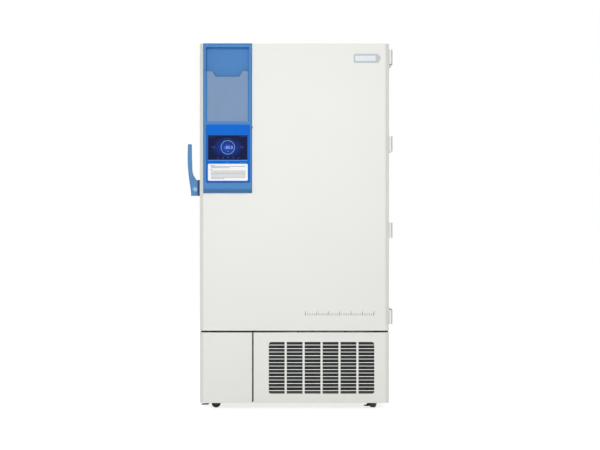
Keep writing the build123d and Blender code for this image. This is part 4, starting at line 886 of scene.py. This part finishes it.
class FREEZER_OT_casing(bpy.types.Operator):
    """Dress the cabinet's sheet steel and its foam"""

    bl_idname = "freezer.casing"
    bl_label = "Casing"

    def execute(self, context):
        sizes = context.scene.freezer_sizes
        soften("outer_case", "coat_white", sizes.sheet_round)
        soften("lower_left_panel", "coat_white", sizes.sheet_round)
        coat("cabinet_insulation", "foam")
        return {"FINISHED"}


class FREEZER_OT_door(bpy.types.Operator):
    """Dress the front door, its lining and its seal"""

    bl_idname = "freezer.door"
    bl_label = "Front Door"

    def execute(self, context):
        sizes = context.scene.freezer_sizes
        soften("door_outer_skin", "coat_white", sizes.sheet_round)
        soften("door_inner_panel", "abs_white", sizes.edge_round)
        coat("door_insulation", "foam")
        low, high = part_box("door_gasket")
        outer_corner = 30 * MM
        for side, inset, lobe in (("outer", 7 * MM, 6.5 * MM), ("inner", 22 * MM, 7.5 * MM)):
            seal_piece(
                f"door_seal_{side}",
                (high.x - low.x - 2 * inset, high.z - low.z - 2 * inset),
                outer_corner - inset,
                lobe,
                0.49 * (high.y - low.y) / lobe,
                (low + high) / 2,
                "door",
                ("door_gasket",),
            )
        return {"FINISHED"}


class FREEZER_OT_console(bpy.types.Operator):
    """Dress the control console and its document pocket"""

    bl_idname = "freezer.console"
    bl_label = "Console"

    def execute(self, context):
        sizes = context.scene.freezer_sizes
        soften("console_housing", "abs_blue", 0.8 * sizes.edge_round)
        soften("document_pocket", "acrylic", 0.6 * MM, 2)
        coat("control_board", "board")
        low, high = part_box("console_housing")
        profile = ((0, 0), (6, 0), (6, 2.2), (5, 3), (0, 3.2))
        button_depth, button_height = 6 * MM, 357 * MM
        seat = Vector((high.x - 0.2 * MM, low.y + button_depth, low.z + button_height))
        button = lathed(profile, seat, RIGHT, 24)
        new_piece("console_side_button", button, "abs_dark", "door", "blue_plastic")
        face = low.y - PROUD
        # Painted shade: dark blue strips round the console's edges and over its foot, where the rounded edges and
        # the sloped foot turn away from the light.
        shade_band, foot = 4.5 * MM, 17 * MM
        between = (low.x + shade_band, high.x - shade_band)
        for side, x_span, z_span in (
            ("left", (low.x, low.x + shade_band), (low.z, high.z)),
            ("right", (high.x - shade_band, high.x), (low.z, high.z)),
            ("top", between, (high.z - shade_band, high.z)),
            ("foot", between, (low.z, low.z + foot)),
        ):
            strip = flat_panel(x_span, z_span, face, 0.4 * MM, 0.3 * MM)
            new_piece(f"console_trim_{side}", strip, "abs_edge_shade", "door", "blue_plastic")
        return {"FINISHED"}


class FREEZER_OT_display(bpy.types.Operator):
    """Light the display and print the label under it"""

    bl_idname = "freezer.display"
    bl_label = "Display"

    def execute(self, context):
        sizes = context.scene.freezer_sizes
        soften("display_bezel", "overlay", sizes.edge_round)
        coat("touch_screen", "display")
        coat("instruction_label", "label")
        low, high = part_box("touch_screen")
        flange = 2.5 * MM
        left, right = low.x + flange, high.x - flange
        bottom, top = low.z + flange, high.z - flange
        glass = low.y - 0.1 * MM
        bezel_low, bezel_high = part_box("display_bezel")
        bezel_face = bezel_low.y - PROUD
        line, corner = 4.5 * MM, 9 * MM
        near, far = 0.6 * MM, 5 * MM
        upright = (bezel_low.z + corner, bezel_high.z - corner)
        level = (bezel_low.x + corner, bezel_high.x - corner)
        # Painted light on the bezel: the light strip under the window is a painted highlight, and the dark strips
        # over and left of the window and along the bezel's sides and foot are painted shade.
        for name, x_span, z_span, ink in (
            ("screen_line_below", (left, right), (bottom - line, bottom), "ink_and_highlight_blue"),
            ("screen_line_above", (left, right), (top, top + line), "painted_shade_navy"),
            ("screen_line_left", (left - line, left), (bottom, top), "painted_shade_navy"),
            ("bezel_edge_left", (bezel_low.x + near, bezel_low.x + far), upright, "painted_shade_navy"),
            ("bezel_edge_right", (bezel_high.x - far, bezel_high.x - near), upright, "painted_shade_navy"),
            ("bezel_edge_foot", level, (bezel_low.z + near, bezel_low.z + far), "painted_shade_navy"),
        ):
            strip = flat_panel(x_span, z_span, bezel_face, 0.2 * MM, 0.4 * MM)
            new_piece(name, strip, ink, "door", "bright_blue")
        dial_x, dial_z = 106.8 * MM, 68.2 * MM
        middle = Vector((left + dial_x, glass, bottom + dial_z))
        profile = ((-0.95, 0), (0.95, 0), (0.95, 0.2), (-0.95, 0.2), (-0.95, 0))
        ring = lathed(profile, middle + mm(0, 0.1, 0), FRONT, 96, sizes.dial_radius)
        new_piece("display_dial_ring", ring, "mark_blue", "door", "dark_glass")
        number = digits(f"{sizes.setting:.1f}", 16 * MM, middle + mm(4.6, 0, -1.2), 0.3 * MM)
        new_piece("display_number", number, "mark_pale", "door", "dark_glass")
        foot = UP * sizes.dial_radius
        tick = cushion_block(foot + mm(-0.6, -0.1, 3), foot + mm(0.6, 0.1, 6), 0.05 * MM)
        ticks = {"Count": 48, "Centre": tuple(middle)}
        copied("display_dial_ticks", tick, ring_tree, ticks, "mark_dim", "door", "dark_glass")
        for name, start, steps, counts, bar, ink in (
            ("display_upper_bars", (-18, 48), (13, 1), (3, 1), (10, 2.4), "mark_dim"),
            ("display_lower_dot", (-1.6, -23), (1, 1), (1, 1), (3.2, 3.2), "mark_blue"),
            ("display_left_bars", (-88, 4), (1, -6), (1, 2), (22, 2.6), "mark_dim"),
            ("display_right_bars", (66, 4), (1, -6), (1, 2), (22, 2.6), "mark_dim"),
            ("display_corner_bars", (-102, 57), (9, 1), (4, 1), (5.5, 2.4), "mark_dim"),
            ("display_clock_bars", (68, 59), (9, 1), (4, 1), (6.5, 3.2), "mark_dim"),
            ("display_icons", (-56.5, -56), (27.8, 1), (5, 1), (6.5, 7), "mark_dim"),
            ("display_icon_feet", (-55.5, -62), (27.8, 1), (5, 1), (4.5, 1.4), "mark_dim"),
        ):
            start = middle + mm(start[0], 0, start[1])
            steps = (steps[0] * MM, steps[1] * MM)
            bar = flat_bar(bar[0] * MM, bar[1] * MM)
            on_grid(name, bar, start, steps, counts, ink, "door", "dark_glass")
        mark_drop, steps = 15.3 * MM, (4.6 * MM, MM)
        for name, x, count in (("bezel_mark_middle", 98, 4), ("bezel_mark_right", 173, 7)):
            mark = flat_bar(3 * MM, 3.4 * MM)
            start = (left + x * MM, bezel_face + 0.1 * MM, bottom - mark_drop)
            on_grid(name, mark, start, steps, (count, 1), "ink_and_highlight_blue", "door", "bright_blue")
        low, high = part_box("instruction_label")
        word = 14.2 * MM
        for name, indent, drop, pitch, words, rows in (
            ("label_heading_upper", 11, 8.7, 5, 2, 1),
            ("label_lines_upper", 17, 14.7, 6.5, 13, 1),
            ("label_line_short", 17, 21.2, 6.5, 7, 1),
            ("label_heading_lower", 11, 32.6, 5, 1, 1),
            ("label_lines_lower", 17, 39, 6.9, 13, 6),
            ("label_line_last", 17, 80.4, 6.9, 5, 1),
        ):
            on_grid(
                name,
                flat_bar(word, 2.2 * MM),
                (low.x + indent * MM, low.y + PROUD, high.z - drop * MM),
                (word + 0.2 * MM, -pitch * MM),
                (words, rows),
                "ink_grey",
                "door",
                "label_paper",
                lengths=(0.94, 1.0),
            )
        return {"FINISHED"}


class FREEZER_OT_badges(bpy.types.Operator):
    """Set the blank plate and the plain scale on the door"""

    bl_idname = "freezer.badges"
    bl_label = "Plate and Scale"

    def execute(self, context):
        soften("badge_plate", "plate_rim", 0.8 * MM, 2)
        low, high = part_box("badge_plate")
        x_span = (low.x + 9 * MM, high.x - 26 * MM)
        z_span = (low.z + 11 * MM, high.z - 10 * MM)
        field = flat_panel(x_span, z_span, low.y - 0.3 * MM, 0.6 * MM, 3 * MM)
        new_piece("badge_plate_field", field, "plate", "door", "silver")
        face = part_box("door_outer_skin")[0].y
        scale_left, scale_foot = 84 * MM, 513
        for name, pitch, height, count in (
            ("door_scale_short", 12.4, 11, 31),
            ("door_scale_long", 62, 22, 7),
        ):
            mark = leaning(flat_bar(3 * MM, height * MM, 0.4 * MM), 0.22)
            start = (scale_left, face - PROUD, (scale_foot + height / 2) * MM)
            steps = (pitch * MM, MM)
            on_grid(name, mark, start, steps, (count, 1), "ink_dark", "door", "white_steel")
        return {"FINISHED"}


class FREEZER_OT_handle(bpy.types.Operator):
    """Dress the handle, its lock and its latch"""

    bl_idname = "freezer.handle"
    bl_label = "Handle and Lock"

    def execute(self, context):
        sizes = context.scene.freezer_sizes
        soften("handle_base", "abs_dark", sizes.edge_round)
        soften("handle_lever", "abs_handle", 2.5 * sizes.edge_round, 4)
        soften("lock_cylinder", "plate_blue", 0.3 * MM, 2)
        soften("latch_hook", "steel", 0.6 * MM, 2)
        soften("latch_strike", "steel", 0.6 * MM, 2)
        low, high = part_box("lock_cylinder")
        centre = (low + high) / 2
        radius = (high.x - low.x) / 2
        collar = ((0.2, 0), (1.6, 0), (1.5, 0.7), (0.9, 1.1), (0.2, 1), (0.2, 0))
        ring = lathed(collar, Vector((centre.x, low.y + 2 * MM, centre.z)), FRONT, 48, radius)
        new_piece("lock_collar", ring, "plate_blue", "door_handle", "silver")
        return {"FINISHED"}


class FREEZER_OT_hinges(bpy.types.Operator):
    """Dress the four door hinges and their covers"""

    bl_idname = "freezer.hinges"
    bl_label = "Door Hinges"

    def execute(self, context):
        sizes = context.scene.freezer_sizes
        for node in ("hinge_door_covers", "hinge_cabinet_covers"):
            soften(node, "abs_white", 0.8 * sizes.edge_round)
        for node in ("hinge_door_leaves", "hinge_cabinet_leaves"):
            soften(node, "zinc", 0.4 * MM, 2)
        coat("hinge_pins", "steel")
        low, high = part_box("hinge_door_covers")
        height, lip = 82.6 * MM, 4 * MM
        spacing = (high.z - low.z - height) / 3
        depth, corner, rise = 1 * MM, 0.8 * MM, 0.1 * MM
        # Painted shade: grey strips down each cover's outer edge and along a lip at the top and at the foot, where
        # the bent edges of the covers turn away from the light.
        edge = flat_panel((high.x - lip, high.x), (low.z, low.z + height), low.y, depth, corner)
        edge.transform(Matrix.Translation((0, -rise, -low.z)))
        place = ((0.0, 0.0, low.z), (MM, spacing), (1, 4))
        on_grid("hinge_cover_edges", edge, *place, "abs_grey", "door", "white_plastic")
        for name, foot in (
            ("hinge_cover_lip_top", high.z - height),
            ("hinge_cover_lip_low", low.z + height - lip),
        ):
            x_span, z_span = (low.x, high.x - lip), (foot, foot + lip)
            strip = flat_panel(x_span, z_span, low.y - rise, depth, corner)
            new_piece(name, strip, "abs_grey", "door", "white_plastic")
        return {"FINISHED"}


class FREEZER_OT_grille(bpy.types.Operator):
    """Dress the grille door, its slats and the filter behind it"""

    bl_idname = "freezer.grille"
    bl_label = "Grille Door"

    def execute(self, context):
        soften("grille_door", "coat_white", 0.35 * MM, 2)
        coat("air_filter", "fleece")
        soften("grille_slats", "coat_grey", 0.4 * MM, 2)
        return {"FINISHED"}


class FREEZER_OT_chamber(bpy.types.Operator):
    """Dress the cold chamber, its shelves and its inner doors"""

    bl_idname = "freezer.chamber"
    bl_label = "Cold Chamber"

    def execute(self, context):
        sizes = context.scene.freezer_sizes
        coat("inner_liner", "stainless")
        soften("breaker_frame", "abs_white", sizes.edge_round)
        coat("access_port_sleeve", "abs_white")
        coat("access_port_plug", "rubber_grey")
        coat("evaporator_coil", "copper")
        soften("shelf_standards", "stainless", 0.4 * MM, 2)
        soften("shelves", "stainless", 0.6 * MM, 2)
        soften("inner_door_frame", "abs_white", 0.8 * MM, 2)
        inset, latch_room = 16 * MM, 8 * MM
        for node in ("inner_door_upper", "inner_door_lower"):
            soften(node, "abs_white", 2 * sizes.edge_round)
            low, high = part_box(node)
            seal_piece(
                f"{node}_seal_bead",
                (high.x - low.x - 2 * inset, high.z - low.z - 2 * inset - latch_room),
                10 * MM,
                3 * MM,
                0.4,
                ((low.x + high.x) / 2, high.y + 0.6 * MM, (low.z + high.z) / 2),
                BODY_OF[node],
            )
        low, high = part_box("shelves")
        side_gap, end_gap, shelf_height = 58 * MM, 35 * MM, 22 * MM
        rib_end = Vector((1.5 * MM, high.y - low.y - 2 * end_gap, 0.9 * MM))
        rib = cushion_block(mm(-1.5, 0, -0.6), rib_end, 0.55 * MM)
        start = (low.x + side_gap, low.y + end_gap, low.z + shelf_height)
        steps = (40 * MM, (high.z - low.z - shelf_height) / 2)
        on_grid("shelf_ribs", rib, start, steps, (17, 3), "stainless", "cabinet", "liner_steel")
        return {"FINISHED"}


class FREEZER_OT_cooling(bpy.types.Operator):
    """Dress the cooling system in the machine compartment"""

    bl_idname = "freezer.cooling"
    bl_label = "Cooling System"

    def execute(self, context):
        sizes = context.scene.freezer_sizes
        for node, material in (
            ("condenser_coil", "aluminium"),
            ("fan_shroud", "abs_black"),
            ("fan_motor", "zinc"),
            ("fan_blades", "abs_black"),
            ("refrigerant_pipes", "copper"),
        ):
            coat(node, material)
        soften("heat_exchanger", "black_rubber_and_shade", 2 * MM)
        soften("backup_battery", "abs_black", sizes.edge_round)
        low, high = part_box("condenser_coil")
        edge, rim, side = 2 * MM, 7 * MM, 8 * MM
        fin = cushion_block(
            Vector((-0.15 * MM, edge, rim)),
            Vector((0.15 * MM, high.y - low.y - edge, high.z - low.z - rim)),
            0.05 * MM,
        )
        count = int((high.x - low.x - 2 * side) / sizes.fin_pitch)
        place = ((low.x + side, low.y, low.z), (sizes.fin_pitch, MM), (count, 1))
        on_grid("condenser_fins", fin, *place, "aluminium", "cabinet", "zinc_steel")
        seam = ((-1, -4), (1.5, -3), (2.2, 0), (1.5, 3), (-1, 4), (-1, -4))
        seam_rise, cover_rise = 190 * MM, 75 * MM
        for node in ("compressor_first_stage", "compressor_second_stage"):
            soften(node, "enamel", 1.5 * MM)
            low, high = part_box(node)
            centre = (low + high) / 2
            radius = (high.x - low.x) / 2
            bead = lathed(seam, Vector((centre.x, centre.y, low.z + seam_rise)), UP, 48, radius)
            new_piece(f"{node}_weld_seam", bead, "enamel", "cabinet", "black_paint")
            corner = Vector((centre.x - 32 * MM, centre.y - radius - 26 * MM, low.z + cover_rise))
            cover = cushion_block(corner, corner + mm(64, 30, 80), 5 * MM, 3)
            new_piece(f"{node}_terminal_cover", cover, "abs_black", "cabinet", "black_plastic")
        shroud_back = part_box("fan_shroud")[1].y
        low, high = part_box("fan_motor")
        middle = (low + high) / 2
        values = {
            "Hoops": 8,
            "Inner radius": 50 * MM,
            "Outer radius": 134 * MM,
            "Wire radius": sizes.guard_wire / 2,
            "Centre": (middle.x, shroud_back + 6.5 * MM, middle.z),
            "Finish": finish("zinc"),
        }
        tree = hoop_tree("Hoops of the fan guard", values)
        grown("fan_guard_hoops", tree, values, "cabinet", "zinc_steel")
        return {"FINISHED"}


class FREEZER_OT_chassis(bpy.types.Operator):
    """Dress the base frame, the casters and their brakes, and set dark strips of painted shade behind the gaps of
    the front
    """

    bl_idname = "freezer.chassis"
    bl_label = "Base and Casters"

    def execute(self, context):
        # Painted shade: the base frame is black rather than grey steel, so that the gaps of the front that show it
        # read dark.
        coat("base_frame", "black_coat_and_shade")
        coat("caster_forks_rear", "zinc")
        panel_low, panel_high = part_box("lower_left_panel")
        grille_low, grille_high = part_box("grille_door")
        door_low, door_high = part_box("door_outer_skin")
        end = 3 * MM
        # Painted shade: black rubber strips set behind the seam between the panels and under the door, so that
        # these gaps read dark.
        for name, shade_low, shade_high, body in (
            (
                "panel_seam_seal",
                Vector((panel_high.x, panel_low.y + 7 * MM, panel_low.z + end)),
                Vector((panel_high.x + 3.4 * MM, panel_high.y - end, panel_high.z - end)),
                "cabinet",
            ),
            (
                "panel_seam_stop",
                Vector((panel_high.x + 0.3 * MM, grille_high.y + 0.6 * MM, panel_low.z + end)),
                Vector((grille_low.x + 8 * MM, grille_high.y + 2.9 * MM, panel_low.z + 58 * MM)),
                "cabinet",
            ),
            (
                "door_foot_seal",
                Vector((door_low.x + 20 * MM, door_low.y + 7 * MM, door_low.z - 4.4 * MM)),
                Vector((door_high.x - 20 * MM, door_low.y + 36 * MM, door_low.z)),
                "door",
            ),
        ):
            strip = cushion_block(shade_low, shade_high, 0.4 * MM)
            new_piece(name, strip, "black_rubber_and_shade", body, "black_plastic")
        rolls = {
            joint["child"]: joint for joint in frame["joints"] if joint["name"].endswith("_roll")
        }
        cap_seat = 12.9 * MM
        profile = ((4.6, 0), (16, 0), (15.4, 0.5), (8, 0.7), (4.6, 0.7), (4.6, 0))
        for place in ("front_left", "front_right", "rear_left", "rear_right"):
            wheel = f"caster_wheel_{place}"
            body = BODY_OF[wheel]
            soften(wheel, "black_rubber_and_shade", 0.8 * MM)
            axis = Vector(rolls[body]["axis"])
            centre = Vector(rolls[body]["pos_m"])
            for side, way in (("inner", 1), ("outer", -1)):
                cap = lathed(profile, centre + axis * way * cap_seat, axis * way, 28)
                new_piece(f"{wheel}_{side}_cap", cap, "abs_black", body, "black_plastic")
        for place in ("front_left", "front_right"):
            soften(f"caster_fork_{place}", "black_coat_and_shade", 0.4 * MM, 2)
            soften(f"brake_pedal_{place}", "black_coat_and_shade", 0.8 * MM)
        return {"FINISHED"}


class FREEZER_OT_rear(bpy.types.Operator):
    """Dress the rear cover, the bumpers and the power entry"""

    bl_idname = "freezer.rear"
    bl_label = "Rear"

    def execute(self, context):
        sizes = context.scene.freezer_sizes
        soften("rear_cover", "coat_white", 0.35 * MM, 2)
        soften("rear_bumpers", "black_rubber_and_shade", 2 * MM)
        soften("power_inlet", "abs_black", 0.6 * MM)
        soften("rocker_switch", "abs_black", 0.6 * MM)
        for name, node, diameter, inset, columns in (
            ("rear_cover_screws", "rear_cover", sizes.screw, 11 * MM, 6),
            ("power_entry_screws", "power_inlet", 5 * MM, 7 * MM, 2),
        ):
            low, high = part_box(node)
            start = (low.x + inset, high.y, low.z + inset)
            across = (high.x - low.x - 2 * inset) / (columns - 1)
            place = (start, (across, high.z - low.z - 2 * inset), (columns, 2))
            on_grid(name, pan_screw(diameter), *place, "zinc", "cabinet", "zinc_steel", spin=1.5)
        return {"FINISHED"}


class FREEZER_OT_stage(bpy.types.Operator):
    """Set the floor, the soft lamps and the camera"""

    bl_idname = "freezer.stage"
    bl_label = "Stage"

    def execute(self, context):
        scene = context.scene
        floor = bmesh.new()
        bmesh.ops.create_grid(floor, x_segments=24, y_segments=24, size=30)
        plane = bpy.data.objects.new("studio_floor", mesh_of(floor))
        scene.collection.objects.link(plane)
        plane.data.materials.append(studio_floor("Studio floor, pale paint", lift=0.78))
        for name, place, aim, side, watts in (
            ("Key", (0.1, -6.6, 2.6), (0.05, -0.5, 1.1), 2.4, 122),
            ("Fill", (-0.6, -6.8, 1.3), (0, -0.5, 1.3), 2.4, 79),
            ("Top", (0.2, 0.6, 4.4), (0, 0.1, 1.0), 3.0, 35),
            ("Rear left", (-4.2, 3.2, 2.6), (0, 0.3, 1.0), 2.6, 80),
            ("Rear right", (4.2, 3.2, 2.4), (0, 0.3, 1.0), 2.6, 60),
        ):
            data = bpy.data.lights.new(name, "AREA")
            data.shape = "SQUARE"
            data.size = side
            data.energy = watts
            lamp = bpy.data.objects.new(name, data)
            scene.collection.objects.link(lamp)
            lamp.location = place
            lamp.rotation_euler = (Vector(aim) - Vector(place)).to_track_quat("-Z", "Y").to_euler()
        scene.world = studio_world("Studio surround", level=0.29)
        scene.view_settings.view_transform = "Standard"
        # Straight in front, at half the freezer's height, like the eye of the photo.
        eye = (0.05615, -8.481, 1.004)
        data = bpy.data.cameras.new("Front view")
        data.lens = 88.35
        data.sensor_width = 36
        camera = bpy.data.objects.new("Front view", data)
        scene.collection.objects.link(camera)
        camera.location = eye
        camera.rotation_euler = (math.radians(90), 0, 0)
        scene.camera = camera
        return {"FINISHED"}


OPERATORS = (
    FREEZER_OT_finishes,
    FREEZER_OT_stage,
    FREEZER_OT_casing,
    FREEZER_OT_door,
    FREEZER_OT_console,
    FREEZER_OT_display,
    FREEZER_OT_badges,
    FREEZER_OT_handle,
    FREEZER_OT_hinges,
    FREEZER_OT_grille,
    FREEZER_OT_chamber,
    FREEZER_OT_cooling,
    FREEZER_OT_chassis,
    FREEZER_OT_rear,
)


class FREEZER_PT_builder(bpy.types.Panel):
    """Sizes, colours and the steps that dress the freezer"""

    bl_idname = "FREEZER_PT_builder"
    bl_label = "Ultra Low Temperature Freezer"
    bl_space_type = "VIEW_3D"
    bl_region_type = "UI"
    bl_category = "Freezer"

    def draw(self, context):
        layout = self.layout
        for group in (context.scene.freezer_sizes, context.scene.freezer_colours):
            column = layout.column(align=True)
            for key in group.bl_rna.properties.keys():
                if key not in ("rna_type", "name"):
                    column.prop(group, key)
        column = layout.column(align=True)
        for step in OPERATORS:
            column.operator(step.bl_idname)


CLASSES = (FreezerSizes, FreezerColours, *OPERATORS, FREEZER_PT_builder)


def register():
    for kind in CLASSES:
        bpy.utils.register_class(kind)
    bpy.types.Scene.freezer_sizes = bpy.props.PointerProperty(type=FreezerSizes)
    bpy.types.Scene.freezer_colours = bpy.props.PointerProperty(type=FreezerColours)


def unregister():
    del bpy.types.Scene.freezer_colours
    del bpy.types.Scene.freezer_sizes
    for kind in reversed(CLASSES):
        bpy.utils.unregister_class(kind)


def main():
    register()
    for step in OPERATORS:
        group, name = step.bl_idname.split(".")
        getattr(getattr(bpy.ops, group), name)()


if __name__ == "__main__":
    main()
